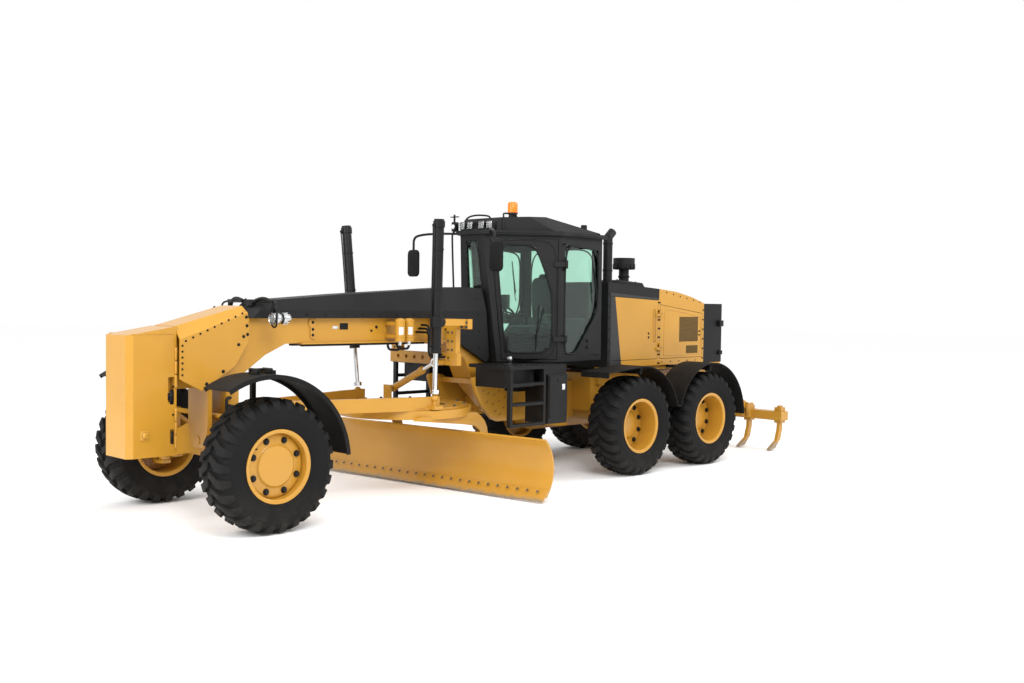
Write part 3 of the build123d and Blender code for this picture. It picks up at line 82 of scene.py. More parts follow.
def remap(tree, value, low, high, toLow, toHigh):
    node = tree.nodes.new("ShaderNodeMapRange")
    for key, number in (("From Min", low), ("From Max", high), ("To Min", toLow), ("To Max", toHigh)):
        feed(tree, node, key, number)
    feed(tree, node, "Value", value)
    return node.outputs["Result"]


def mixColour(tree, factor, first, second, blend="MIX"):
    node = addNode(tree, "ShaderNodeMix", data_type="RGBA", blend_type=blend)
    for socket, source in ((0, factor), (6, first), (7, second)):  # Factor, A and B of a colour mix
        feed(tree, node, socket, source)
    return node.outputs[2]


def calculate(tree, operation, *sources):
    node = addNode(tree, "ShaderNodeMath", operation=operation)
    for socket, source in enumerate(sources):
        feed(tree, node, socket, source)
    return node.outputs[0]


# road dust: a slow drift of tone over the paint, and a film that settles low down
dustLook = {"speckle": 9.0, "fine": 60.0, "drift": 1.3, "sheen": 4.0, "sheenMost": 0.12, "dustRougher": 0.5}


def makeDustGroup():
    tree, inlet, outlet = startGroup(
        "roadDust",
        [("Paint", "NodeSocketColor", (0.5, 0.5, 0.5, 1)), ("Dust", "NodeSocketColor", (0.36, 0.31, 0.25, 1)),
         ("Amount", "NodeSocketFloat", 0.3), ("Height", "NodeSocketFloat", 1.2),
         ("Gloss", "NodeSocketFloat", 0.3)],
        [("Colour", "NodeSocketColor"), ("Roughness", "NodeSocketFloat")])
    place = tree.nodes.new("ShaderNodeTexCoord").outputs["Object"]
    split = tree.nodes.new("ShaderNodeSeparateXYZ")
    tree.links.new(place, split.inputs[0])
    low = remap(tree, split.outputs["Z"], 0.0, inlet.outputs["Height"], 1.0, 0.0)
    speckle = remap(tree, addNoise(tree, dustLook["speckle"], place), 0.35, 0.75, 0.1, 1.0)
    fine = remap(tree, addNoise(tree, dustLook["fine"], place), 0.3, 0.7, 0.5, 1.0)
    film = calculate(tree, "MULTIPLY", fine, inlet.outputs["Amount"])
    mask = calculate(tree, "MULTIPLY", calculate(tree, "MULTIPLY", low, speckle), film)
    tone = remap(tree, addNoise(tree, dustLook["drift"], place), 0.3, 0.7, 0.93, 1.05)
    toned = mixColour(tree, 1.0, inlet.outputs["Paint"], tone, "MULTIPLY")
    tree.links.new(mixColour(tree, mask, toned, inlet.outputs["Dust"]), outlet.inputs["Colour"])
    sheen = remap(tree, addNoise(tree, dustLook["sheen"], place), 0.3, 0.7, 0.0, dustLook["sheenMost"])
    rough = calculate(tree, "ADD", inlet.outputs["Gloss"], sheen)
    tree.links.new(calculate(tree, "MULTIPLY_ADD", mask, dustLook["dustRougher"], rough),
                   outlet.inputs["Roughness"])
    return tree


# height for a Bump node: two scales of grain
grainLook = {"detail": 3.0}


def makeGrainGroup():
    tree, inlet, outlet = startGroup(
        "surfaceGrain",
        [("Coarse", "NodeSocketFloat", 20.0), ("Fine", "NodeSocketFloat", 300.0),
         ("Balance", "NodeSocketFloat", 0.5)],
        [("Height", "NodeSocketFloat")])
    place = tree.nodes.new("ShaderNodeTexCoord").outputs["Object"]
    mix = tree.nodes.new("ShaderNodeMix")
    tree.links.new(inlet.outputs["Balance"], mix.inputs[0])
    for socket, name in ((2, "Coarse"), (3, "Fine")):  # A and B of a value mix
        grain = addNode(tree, "ShaderNodeTexNoise", Detail=grainLook["detail"])
        tree.links.new(place, grain.inputs["Vector"])
        tree.links.new(inlet.outputs[name], grain.inputs["Scale"])
        tree.links.new(grain.outputs["Fac"], mix.inputs[socket])
    tree.links.new(mix.outputs[0], outlet.inputs["Height"])
    return tree


dustGroup = makeDustGroup()
grainGroup = makeGrainGroup()

# gloss is the roughness; dust fades out at the height high; coarse and fine are the grain's scales
finishes = {
    "yellowPaint": dict(colour=(0.475, 0.234, 0.022), gloss=0.30, coat=0.22, dust=0.06, high=1.0, coarse=12,
                        fine=260, bump=0.02, shine=0.4),
    "blackPaint": dict(colour=(0.0065, 0.0065, 0.0065), gloss=0.38, coat=0.03, dust=0.04, high=1.3, coarse=16,
                       fine=320, bump=0.03, shine=0.19),
    "satinBlack": dict(colour=(0.0095, 0.0095, 0.0097), gloss=0.5, coat=0.0, dust=0.03, high=1.3, coarse=18,
                       fine=420, bump=0.04, shine=0.21),
    "fenderPlastic": dict(colour=(0.006, 0.006, 0.006), gloss=0.55, coat=0.0, dust=0.045, high=1.6, coarse=60,
                          fine=700, bump=0.10, shine=0.14),
    "tyreRubber": dict(colour=(0.0085, 0.0083, 0.0083), gloss=0.72, coat=0.0, dust=0.07, high=0.5, coarse=50,
                       fine=500, bump=0.12, shine=0.12),
    "treadRubber": dict(colour=(0.0085, 0.0082, 0.0082), gloss=0.62, coat=0.0, dust=0.08, high=0.7, coarse=40,
                        fine=400, bump=0.16, shine=0.14),
    "hoseRubber": dict(colour=(0.009, 0.009, 0.009), gloss=0.5, coat=0.0, dust=0.08, high=1.4, coarse=90,
                       fine=900, bump=0.10, shine=0.2),
    "greyPlastic": dict(colour=(0.060, 0.066, 0.066), gloss=0.55, coat=0.0, dust=0.05, high=1.0, coarse=70,
                        fine=800, bump=0.08),
    "ironGrey": dict(colour=(0.07, 0.068, 0.062), gloss=0.6, coat=0.0, dust=0.2, high=1.8, coarse=40,
                     fine=300, bump=0.3),
    "labelWhite": dict(colour=(0.62, 0.62, 0.60), gloss=0.4, coat=0.2, dust=0.04, high=1.0, coarse=20,
                       fine=300, bump=0.01),
    "lampWhite": dict(colour=(0.66, 0.68, 0.68), gloss=0.12, coat=0.8, dust=0.02, high=1.0, coarse=40,
                      fine=300, bump=0.01),
    "signalRed": dict(colour=(0.42, 0.015, 0.012), gloss=0.25, coat=0.6, dust=0.04, high=1.0, coarse=20,
                      fine=300, bump=0.01),
    "wornEdge": dict(colour=(0.27, 0.20, 0.12), gloss=0.4, coat=0.0, dust=0.1, high=1.0, coarse=40,
                     fine=400, bump=0.06),
    # grille: yellow darkened with painted shade, worn by the wires and by the sheet that stands in for the
    # shadowed space behind them
    "grilleInPaintedShade": dict(colour=(0.125, 0.075, 0.022), gloss=0.6, coat=0.0, dust=0.1, high=3.0, coarse=60,
                       fine=500, bump=0.1, shine=0.15),
    "blackBolt": dict(colour=(0.0065, 0.0065, 0.007), gloss=0.42, coat=0.0, dust=0.06, high=1.0, coarse=60,
                      fine=500, bump=0.05, shine=0.2),
}
# corner softens the shading of edges, in metres
surface = {"coatRoughness": 0.12, "relief": 0.004, "corner": 0.006, "cornerSamples": 4}


def makeFinish(name, colour, gloss, coat, dust, high, coarse, fine, bump, shine=0.3):
    material = bpy.data.materials.new(name)
    material.use_nodes = True
    tree = material.node_tree
    shader = tree.nodes["Principled BSDF"]
    paint = addNode(tree, "ShaderNodeGroup", node_tree=dustGroup)
    for socket, value in (("Paint", (*colour, 1)), ("Amount", dust), ("Height", high), ("Gloss", gloss)):
        paint.inputs[socket].default_value = value
    tree.links.new(paint.outputs["Colour"], shader.inputs["Base Color"])
    tree.links.new(paint.outputs["Roughness"], shader.inputs["Roughness"])
    shader.inputs["Specular IOR Level"].default_value = shine
    shader.inputs["Coat Weight"].default_value = coat
    shader.inputs["Coat Roughness"].default_value = surface["coatRoughness"]
    grain = addNode(tree, "ShaderNodeGroup", node_tree=grainGroup)
    grain.inputs["Coarse"].default_value = coarse
    grain.inputs["Fine"].default_value = fine
    relief = addNode(tree, "ShaderNodeBump", Strength=bump, Distance=surface["relief"])
    tree.links.new(grain.outputs["Height"], relief.inputs["Height"])
    corner = addNode(tree, "ShaderNodeBevel", samples=surface["cornerSamples"], Radius=surface["corner"])
    tree.links.new(corner.outputs["Normal"], relief.inputs["Normal"])
    tree.links.new(relief.outputs["Normal"], shader.inputs["Normal"])
    return material


finish = {name: makeFinish(name, **look) for name, look in finishes.items()}

metals = {
    # colour, gloss, scale of the fine grain
    "chromedRod": ((0.80, 0.81, 0.82), 0.08, 600),
    "bareSteel": ((0.42, 0.41, 0.40), 0.32, 400),
    "lampMirror": ((0.52, 0.53, 0.54), 0.14, 200),
}
for name, (colour, gloss, fine) in metals.items():
    finish[name] = makeFinish(name, colour, gloss, coat=0.0, dust=0.05, high=0.8, coarse=30, fine=fine,
                              bump=0.05)
    finish[name].node_tree.nodes["Principled BSDF"].inputs["Metallic"].default_value = 1.0

glasses = {
    # colour, gloss, how clear
    "tintedGlass": ((0.66, 0.90, 0.79), 0.02, 1.0),
    "clearLens": ((0.93, 0.95, 0.95), 0.05, 0.85),
    "amberLens": ((1.0, 0.28, 0.02), 0.12, 0.55),
}
glassLook = {"bend": 1.42, "hazeScale": 3.0, "hazeMore": 0.05, "toneScale": 1.1}
amberGlow = {"colour": (1.0, 0.22, 0.01, 1), "strength": 0.35}


def makeGlass(name, colour, gloss, clear):
    material = bpy.data.materials.new(name)
    material.use_nodes = True
    tree = material.node_tree
    shader = tree.nodes["Principled BSDF"]
    shader.inputs["Transmission Weight"].default_value = clear
    shader.inputs["IOR"].default_value = glassLook["bend"]
    place = tree.nodes.new("ShaderNodeTexCoord").outputs["Object"]
    haze = addNoise(tree, glassLook["hazeScale"], place)
    tree.links.new(remap(tree, haze, 0.3, 0.75, gloss, gloss + glassLook["hazeMore"]),
                   shader.inputs["Roughness"])
    tone = remap(tree, addNoise(tree, glassLook["toneScale"], place), 0.3, 0.7, 0.94, 1.0)
    tree.links.new(mixColour(tree, 1.0, (*colour, 1), tone, "MULTIPLY"), shader.inputs["Base Color"])
    return material


for name, look in glasses.items():
    finish[name] = makeGlass(name, *look)
lensGlow = finish["amberLens"].node_tree.nodes["Principled BSDF"]
lensGlow.inputs["Emission Color"].default_value = amberGlow["colour"]
lensGlow.inputs["Emission Strength"].default_value = amberGlow["strength"]

weave = {"colour": (0.040, 0.043, 0.045), "scale": 160, "wobble": 1.5, "bump": 0.35, "relief": 0.002,
         "sheen": 0.3}


def makeWeave():
    material = makeFinish("seatWeave", weave["colour"], gloss=0.85, coat=0.0, dust=0.0, high=1.0, coarse=40,
                          fine=700, bump=0.1)
    tree = material.node_tree
    shader = tree.nodes["Principled BSDF"]
    threads = addNode(tree, "ShaderNodeTexWave", Scale=weave["scale"], Distortion=weave["wobble"])
    tree.links.new(tree.nodes.new("ShaderNodeTexCoord").outputs["Object"], threads.inputs["Vector"])
    relief = addNode(tree, "ShaderNodeBump", Strength=weave["bump"], Distance=weave["relief"])
    tree.links.new(threads.outputs["Fac"], relief.inputs["Height"])
    tree.links.new(relief.outputs["Normal"], shader.inputs["Normal"])
    shader.inputs["Sheen Weight"].default_value = weave["sheen"]
    return material


finish["seatWeave"] = makeWeave()


# mask that is 1 where a * x + b * z is beyond c
def maskBeyond(tree, a, b, c, fade, speck):
    place = tree.nodes.new("ShaderNodeTexCoord").outputs["Object"]
    along = addNode(tree, "ShaderNodeVectorMath", operation="DOT_PRODUCT")
    along.inputs[1].default_value = (a, 0, b)
    tree.links.new(place, along.inputs[0])
    value = along.outputs["Value"]
    if speck:
        wobble = remap(tree, addNoise(tree, 14.0, place), 0.3, 0.7, -speck, speck)
        value = calculate(tree, "ADD", value, wobble)
    return remap(tree, value, c - fade, c + fade, 0.0, 1.0)


# paint with a second colour where any of the zones holds; a zone holds where all its lines do
splitPaints = {
    "hoodPaint": dict(other="satinBlack", fade=0.002, speck=0.0,
                      zones=(((1.0, -0.1667, -1.943),), ((-0.0373, 1.0, 2.330), (1.0, 0.0, -2.572)))),
    "bladePaint": dict(other="wornEdge", fade=0.02, speck=0.02, zones=(((0.0, -1.0, -0.045),),)),
    "tipPaint": dict(other="wornEdge", fade=0.03, speck=0.03, zones=(((0.0, -1.0, -0.11),),)),
}


def makeSplitPaint(name, other, zones, fade, speck):
    material = finish["yellowPaint"].copy()
    material.name = name
    tree = material.node_tree
    shader = tree.nodes["Principled BSDF"]
    colour = shader.inputs["Base Color"].links[0].from_socket
    for lines in zones:
        mask = None
        for line in lines:
            part = maskBeyond(tree, *line, fade=fade, speck=speck)
            mask = part if mask is None else calculate(tree, "MULTIPLY", mask, part)
        colour = mixColour(tree, mask, colour, (*finishes[other]["colour"], 1))
    tree.links.new(colour, shader.inputs["Base Color"])
    return material


for name, look in splitPaints.items():
    finish[name] = makeSplitPaint(name, **look)

# which finish each CAD node wears: the longest of these that its name begins with, or else yellow
nodeFinish = {
    "frame_cover": "satinBlack", "cab_shell": "satinBlack", "cab_door_glass": "tintedGlass",
    "cab_glass": "tintedGlass", "cab_door": "satinBlack", "operator_station": "greyPlastic",
    "side_steps": "blackPaint", "mirrors": "blackPaint", "centre_shift_rod": "chromedRod",
    "drawbar_ball": "bareSteel", "hood_top": "satinBlack", "engine_block": "ironGrey",
    "radiator_guard": "blackPaint", "rear_fenders": "fenderPlastic", "ripper_rod": "chromedRod",
    "front_fender": "fenderPlastic", "lift_barrel": "blackPaint", "lift_rod": "chromedRod",
    "tie_rod": "blackPaint", "hoses": "hoseRubber", "front_service_door": "hoodPaint",
    "hood_shell": "hoodPaint", "moldboard": "bladePaint", "ripper": "tipPaint", "ripper_links": "yellowPaint",
    "ripper_barrel": "yellowPaint", "centre_shift_bushing": "bareSteel",
}
for nodeName, node in nodes.items():
    match = [key for key in nodeFinish if nodeName.startswith(key)]
    look = nodeFinish[max(match, key=len)] if match else "yellowPaint"
    node.data.materials.clear()
    node.data.materials.append(finish[look])
print("finishes ready")

# making pieces
hands = ((1, "Left"), (-1, "Right"))
forward, leftward, upward = (1, 0, 0), (0, 1, 0), (0, 0, 1)


def startMesh():
    return bmesh.new()


def linkPiece(data, name, body, look):
    data.materials.append(finish[look])
    piece = bpy.data.objects.new(name, data)
    bpy.context.scene.collection.objects.link(piece)
    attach(piece, body)
    return piece


def finishPiece(mesh, name, body, look, smooth=35, stands=()):
    bmesh.ops.remove_doubles(mesh, verts=mesh.verts, dist=0.00005)
    bmesh.ops.recalc_face_normals(mesh, faces=mesh.faces)
    data = bpy.data.meshes.new(name)
    mesh.to_mesh(data)
    mesh.free()
    for face in data.polygons:
        face.use_smooth = smooth > 0
    if smooth > 0:
        data.set_sharp_from_angle(angle=math.radians(smooth))
    piece = linkPiece(data, name, body, look)
    if stands:
        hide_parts(*stands)
    return piece


def facing(direction):
    return Vector((0, 0, 1)).rotation_difference(Vector(direction)).to_matrix().to_4x4()


def turned(degrees, axis):
    return Matrix.Rotation(math.radians(degrees), 4, axis)


def madeSince(mesh, before):
    return [vert for vert in mesh.verts if vert not in before]


def mirrored(points, side):
    return [(x, side * y, z) for x, y, z in points]


def bevelEdges(mesh, verts, offset):
    edges = list({edge for vert in verts for edge in vert.link_edges})
    bmesh.ops.bevel(mesh, geom=edges, offset=offset, segments=2, profile=0.5, affect="EDGES", material=-1)


# box with rounded edges between two corners
def addBox(mesh, low, high, round=0.004, place=None):
    before = set(mesh.verts)
    middle = [(a + b) / 2 for a, b in zip(low, high)]
    size = [abs(b - a) for a, b in zip(low, high)]
    stretch = Matrix.Translation(middle) @ Matrix.Diagonal((*size, 1))
    made = bmesh.ops.create_cube(mesh, size=1, matrix=stretch)
    bevelEdges(mesh, made["verts"], min(round, min(size) * 0.45))
    if place is not None:
        bmesh.ops.transform(mesh, matrix=place, verts=madeSince(mesh, before))


# turned piece: (radius, distance along the axis) points
def addTurned(mesh, profile, origin, axis, steps=24):
    before = set(mesh.verts)
    verts = [mesh.verts.new((radius, 0, along)) for radius, along in profile]
    edges = [mesh.edges.new(pair) for pair in zip(verts, verts[1:])]
    bmesh.ops.spin(mesh, geom=verts + edges, cent=(0, 0, 0), axis=(0, 0, 1), angle=math.tau, steps=steps,
                   use_merge=True)
    place = Matrix.Translation(origin) @ facing(axis)
    bmesh.ops.transform(mesh, matrix=place, verts=madeSince(mesh, before))


# flat plate of an outline in a plane, given its thickness along the third axis
def addPlate(mesh, plane, outline, low, high, round=0.003, place=None):
    before = set(mesh.verts)
    spots = {"xz": lambda a, b: (a, low, b), "yz": lambda a, b: (low, a, b), "xy": lambda a, b: (a, b, low)}
    face = mesh.faces.new([mesh.verts.new(spots[plane](a, b)) for a, b in outline])
    push = {"xz": (0, high - low, 0), "yz": (high - low, 0, 0), "xy": (0, 0, high - low)}[plane]
    made = bmesh.ops.extrude_face_region(mesh, geom=[face])
    risen = [item for item in made["geom"] if isinstance(item, bmesh.types.BMVert)]
    bmesh.ops.translate(mesh, vec=push, verts=risen)
    verts = madeSince(mesh, before)
    bmesh.ops.recalc_face_normals(mesh, faces=list({item for vert in verts for item in vert.link_faces}))
    bevelEdges(mesh, verts, min(round, abs(high - low) * 0.45))
    if place is not None:
        bmesh.ops.transform(mesh, matrix=place, verts=madeSince(mesh, before))


# hexagon head on a washer
def addBolt(mesh, place, axis, radius=0.012, height=0.010):
    base = Matrix.Translation(place) @ facing(axis)
    bmesh.ops.create_cone(mesh, cap_ends=True, segments=16, radius1=radius * 1.35, radius2=radius * 1.3,
                          depth=height * 0.4, matrix=base @ Matrix.Translation((0, 0, height * 0.2)))
    bmesh.ops.create_cone(mesh, cap_ends=True, segments=6, radius1=radius, radius2=radius * 0.92,
                          depth=height, matrix=base @ Matrix.Translation((0, 0, height * 0.7)))


def pipeAlong(name, route, radius, body, look, closed=False):
    curve = bpy.data.curves.new(name, "CURVE")
    curve.dimensions = "3D"
    curve.bevel_depth = radius
    curve.bevel_resolution = 3
    curve.resolution_u = 10
    curve.use_fill_caps = True
    spline = curve.splines.new("NURBS")
    spline.points.add(len(route) - 1)
    for point, place in zip(spline.points, route):
        point.co = (*place, 1)
    spline.order_u = 3
    spline.use_endpoint_u = not closed
    spline.use_cyclic_u = closed
    holder = bpy.data.objects.new(name + "Line", curve)
    data = bpy.data.meshes.new_from_object(holder)
    bpy.data.objects.remove(holder)
    bpy.data.curves.remove(curve)
    data.name = name
    for face in data.polygons:
        face.use_smooth = True
    data.materials.clear()
    return linkPiece(data, name, body, look)


# tyres and rims
tyre = {
    "radius": 0.630, "lugs": 26, "steps": 78,
    # radius, y of the carcass from the bead to the crown
    "side": ((0.319, 0.160), (0.326, 0.174), (0.344, 0.178), (0.352, 0.186), (0.372, 0.198), (0.378, 0.196),
             (0.420, 0.214), (0.470, 0.2205), (0.512, 0.2195), (0.518, 0.2225), (0.524, 0.2190),
             (0.545, 0.213), (0.566, 0.200), (0.584, 0.172), (0.594, 0.125), (0.599, 0.060), (0.600, 0.0)),
    # distance round the lugs' outer skin from the middle, radius there, y there
    "skin": ((0.0, 0.6295, 0.0), (0.110, 0.6275, 0.110), (0.165, 0.619, 0.163), (0.195, 0.606, 0.190),
             (0.225, 0.583, 0.209), (0.255, 0.556, 0.2185), (0.285, 0.534, 0.2215)),
    # one lug: along the circumference, distance from the middle
    "lug": ((-0.078, 0.007), (-0.016, 0.007), (0.036, 0.092), (0.064, 0.104), (0.084, 0.190), (0.078, 0.278),
            (0.020, 0.278), (0.000, 0.196), (-0.018, 0.128), (-0.034, 0.108)),
    "cuts": (0.05, 0.110, 0.140, 0.165, 0.195, 0.225, 0.255),
    "lugEdge": 0.006, "lugDepth": 0.045, "lugFlare": 1.08, "footInset": 0.012, "shoulderFrom": 0.2,
}


def skinAt(distance):
    rows = tyre["skin"]
    for (t0, r0, y0), (t1, r1, y1) in zip(rows, rows[1:]):
        if distance <= t1:
            share = (distance - t0) / (t1 - t0)
            return r0 + (r1 - r0) * share, y0 + (y1 - y0) * share
    return rows[-1][1:]


# a lug is shaped flat, its foot one metre down, and then wrapped round the tyre
def makeLug():
    mesh = startMesh()
    mesh.faces.new([mesh.verts.new((along, across, 0)) for along, across in tyre["lug"]])
    for cut in tyre["cuts"]:
        bmesh.ops.bisect_plane(mesh, geom=mesh.verts[:] + mesh.edges[:] + mesh.faces[:], plane_co=(0, cut, 0),
                               plane_no=(0, 1, 0))
    wall = bmesh.ops.extrude_face_region(mesh, geom=mesh.faces[:])
    foot = [item for item in wall["geom"] if isinstance(item, bmesh.types.BMVert)]
    bmesh.ops.translate(mesh, vec=(0, 0, -1), verts=foot)
    rim = [edge for edge in mesh.edges if len(edge.link_faces) == 2 and abs(edge.calc_face_angle(0)) > 0.5
           and all(vert.co.z > -0.5 for vert in edge.verts)]
    bmesh.ops.bevel(mesh, geom=rim, offset=tyre["lugEdge"], segments=2, profile=0.5, affect="EDGES",
                    material=-1)
    for vert in mesh.verts:
        radius, across = skinAt(vert.co.y)
        angle = vert.co.x / tyre["radius"]
        if vert.co.z > -0.5:
            reach = radius - min(-vert.co.z, tyre["lugEdge"])
        else:
            reach = radius - tyre["lugDepth"]
            across -= tyre["footInset"] if vert.co.y > tyre["shoulderFrom"] else 0.0
            angle *= tyre["lugFlare"]
        vert.co = (reach * math.sin(angle), across, reach * math.cos(angle))
    bmesh.ops.recalc_face_normals(mesh, faces=mesh.faces)
    data = bpy.data.meshes.new("lug")
    mesh.to_mesh(data)
    mesh.free()
    return data


# closed section of (radius, y) points turned about the wheel's axle
def addRing(mesh, section, steps=72):
    verts = [mesh.verts.new((radius, across, 0)) for radius, across in section]
    edges = [mesh.edges.new((a, b)) for a, b in zip(verts, verts[1:] + verts[:1]) if a.co.x > 0 or b.co.x > 0]
    bmesh.ops.spin(mesh, geom=verts + edges, cent=(0, 0, 0), axis=(0, 1, 0), angle=math.tau, steps=steps,
                   use_merge=True)


def makeTyreMesh():
    mesh = startMesh()
    half = list(tyre["side"])
    addRing(mesh, half + [(radius, -across) for radius, across in reversed(half[:-1])], tyre["steps"])
    bmesh.ops.recalc_face_normals(mesh, faces=mesh.faces)
    lugData = makeLug()
    pitch = math.tau / tyre["lugs"]
    for index in range(tyre["lugs"]):
        for side, shift in ((1, 0.0), (-1, 0.5)):
            before = set(mesh.verts)
            mesh.from_mesh(lugData)
            fresh = madeSince(mesh, before)
            turn = Matrix.Rotation((index + shift) * pitch, 4, "Y") @ Matrix.Diagonal((1, side, 1, 1))
            bmesh.ops.transform(mesh, matrix=turn, verts=fresh)
            lugFaces = list({face for vert in fresh for face in vert.link_faces})
            for face in lugFaces:
                face.material_index = 1
            if side < 0:
                bmesh.ops.reverse_faces(mesh, faces=lugFaces)
    return mesh


rim = {
    # radius, y (outwards) round the whole section; the disc is a separate run
    "tube": ((0.346, 0.190), (0.3465, 0.183), (0.340, 0.172), (0.326, 0.168), (0.318, 0.158), (0.318, -0.158),
             (0.326, -0.168), (0.340, -0.172), (0.3465, -0.183), (0.346, -0.190), (0.330, -0.190),
             (0.308, -0.178), (0.304, -0.150), (0.304, 0.150), (0.308, 0.178), (0.330, 0.190)),
    "steered": {
        "disc": ((0.306, 0.088), (0.300, 0.104), (0.285, 0.113), (0.270, 0.117), (0.212, 0.117),
                 (0.204, 0.120),
                 (0.196, 0.126), (0.190, 0.138), (0.184, 0.1425), (0.120, 0.1430), (0.0, 0.1432),
                 (0.0, 0.035), (0.112, 0.035), (0.112, 0.090), (0.306, 0.090)),
        "bolts": 8, "seat": 0.117,
    },
    "driven": {
        "disc": ((0.306, -0.092), (0.302, -0.062), (0.290, -0.054), (0.205, -0.053), (0.190, -0.050),
                 (0.172, -0.030), (0.150, -0.020), (0.060, -0.016), (0.0, -0.015), (0.0, -0.135),
                 (0.112, -0.135), (0.112, -0.080), (0.306, -0.080)),
        "bolts": 10, "seat": -0.053,
    },
    "boltRing": 0.252, "bolt": 0.0175, "boltHeight": 0.020, "valve": (0.212, 0.175), "valveRadius": 0.007,
}


def makeWheel(name, box):
    centre = Vector([(a + b) / 2 for a, b in zip(*box)])
    side = 1 if centre.y > 0 else -1
    place = Matrix.Translation(centre) @ Matrix.Diagonal((1, side, 1, 1))
    mesh = makeTyreMesh()
    turnedOver = Matrix.Translation(centre) @ Matrix.Diagonal((side, side, 1, 1))
    bmesh.ops.transform(mesh, matrix=turnedOver, verts=mesh.verts)
    rubber = finishPiece(mesh, name + "Tyre", name + "_wheel", "tyreRubber", 35, [name + "_tyre"])
    rubber.data.materials.append(finish["treadRubber"])
    kind = rim["steered" if name.startswith("front") else "driven"]
    mesh = startMesh()
    addRing(mesh, rim["tube"])
    addRing(mesh, kind["disc"])
    bmesh.ops.transform(mesh, matrix=place, verts=mesh.verts)
    finishPiece(mesh, name + "Rim", name + "_wheel", "yellowPaint", 30, [name + "_rim"])
    mesh = startMesh()
    for index in range(kind["bolts"]):
        angle = math.tau / kind["bolts"] * (index + 0.5)
        spot = (rim["boltRing"] * math.cos(angle), kind["seat"], rim["boltRing"] * math.sin(angle))
        addBolt(mesh, spot, leftward, rim["bolt"] * 1.35, rim["boltHeight"])
    addBolt(mesh, (rim["valve"][0], kind["seat"], rim["valve"][1]), leftward, rim["valveRadius"], 0.030)
    bmesh.ops.transform(mesh, matrix=place, verts=mesh.verts)
    finishPiece(mesh, name + "Bolts", name + "_wheel", "blackBolt", 30)


for wheelName in ("front_left", "front_right", "middle_left", "middle_right", "rear_left", "rear_right"):
    makeWheel(wheelName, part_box(wheelName + "_tyre"))
print("wheels built")

# bolts along the nose and the gooseneck's cover, on both sides
boltRows = {
    # radius, start, end, count
    "noseColumn": (0.008, (4.505, 0.301, 1.44), (4.505, 0.301, 1.72), 6),
    "noseFold": (0.008, (4.47, 0.301, 1.765), (3.86, 0.301, 2.03), 9),
    "noseRear": (0.012, (3.800, 0.301, 1.82), (3.822, 0.301, 2.08), 4),
    "noseFoot": (0.013, (4.250, 0.301, 1.345), (4.070, 0.301, 1.460), 2),
    "noseInner": (0.012, (3.845, 0.301, 1.80), (3.90, 0.301, 1.72), 2),
    "coverFoot": (0.009, (1.35, 0.236, 2.02), (3.30, 0.236, 2.02), 9),
    "coverRear": (0.009, (0.56, 0.236, 1.62), (0.60, 0.236, 2.22), 4),
}


def boltLine(mesh, start, end, count, axis, radius=0.010):
    for index in range(count):
        addBolt(mesh, Vector(start).lerp(Vector(end), index / max(count - 1, 1)), axis, radius, radius * 0.8)


mesh = startMesh()
for radius, first, last, count in boltRows.values():
    for side, _ in hands:
        boltLine(mesh, *mirrored((first, last), side), count, (0, side, 0), radius)
finishPiece(mesh, "frontBolts", "front_body", "blackBolt", 30)

# the hood's sides taper to the rear; its trim is placed by x, z and the distance out
hood = {"halfWidth": 0.600, "widestAt": -1.40, "taper": 0.0431, "turn": 2.468}
hoodBolts = {
    # x, lowest z, highest z, count
    "seams": ((-1.437, 1.40, 2.30, 7), (-2.560, 1.36, 2.20, 8), (-2.590, 1.36, 2.20, 8),
              (-3.690, 1.40, 2.10, 6)),
    # x and z of both ends, count
    "rows": (((-2.75, 2.345), (-3.60, 2.215), 6), ((-2.66, 1.375), (-3.50, 1.375), 5)),
    "seamBolt": 0.010, "rowBolt": 0.008,
}


def hoodSide(x, z, side, out=0.0):
    return Vector((x, side * (hood["halfWidth"] + (x - hood["widestAt"]) * hood["taper"] + out), z))


def hoodOut(side):
    return Vector((-hood["taper"], side, 0)).normalized()


mesh = startMesh()
for side, _ in hands:
    for x, low, high, count in hoodBolts["seams"]:
        boltLine(mesh, hoodSide(x, low, side), hoodSide(x, high, side), count, hoodOut(side),
                 hoodBolts["seamBolt"])
    for first, last, count in hoodBolts["rows"]:
        boltLine(mesh, hoodSide(*first, side), hoodSide(*last, side), count, hoodOut(side),
                 hoodBolts["rowBolt"])
finishPiece(mesh, "hoodBolts", "rear_body", "blackBolt", 30)
print("bolt rows set")

# service doors: latches, wire mesh, pressed bead and grab
latches = {
    "front": {"spots": ((-2.33, 1.720), (-2.33, 1.775)),
              "button": ((0.0, 0.006), (0.014, 0.006), (0.017, 0.003), (0.017, -0.004))},
    "rear": {"spots": ((-3.615, 1.74), (-3.615, 1.795), (-3.585, 1.74), (-3.585, 1.795)),
             "button": ((0.0, 0.005), (0.010, 0.005), (0.012, 0.002), (0.012, -0.004))},
}
wireMesh = {
    # x and z of two opposite corners of each field
    "fields": (((-3.562, 1.648), (-3.078, 2.002)), ((-3.562, 1.478), (-3.258, 1.592))),
    # sheet is the thickness of the painted-shade sheet laid behind the wires
    "pitch": 0.019, "bar": 0.006, "margin": 0.004, "sheet": 0.0012, "uprights": 0.0034, "rungs": 0.0028,
    "round": 0.0008,
}
doorBead = {
    "outline": ((-2.70, 1.46), (-2.70, 2.09), (-2.76, 2.115), (-3.58, 2.015), (-3.64, 1.96), (-3.64, 1.52),
                (-3.58, 1.455)),
    "radius": 0.0045, "out": 0.0005,
}
# z, distance out
doorGrab = {"x": -2.47, "radius": 0.008,
            "route": ((1.66, 0.0), (1.66, 0.022), (1.70, 0.026), (2.06, 0.026), (2.10, 0.022), (2.10, 0.0))}


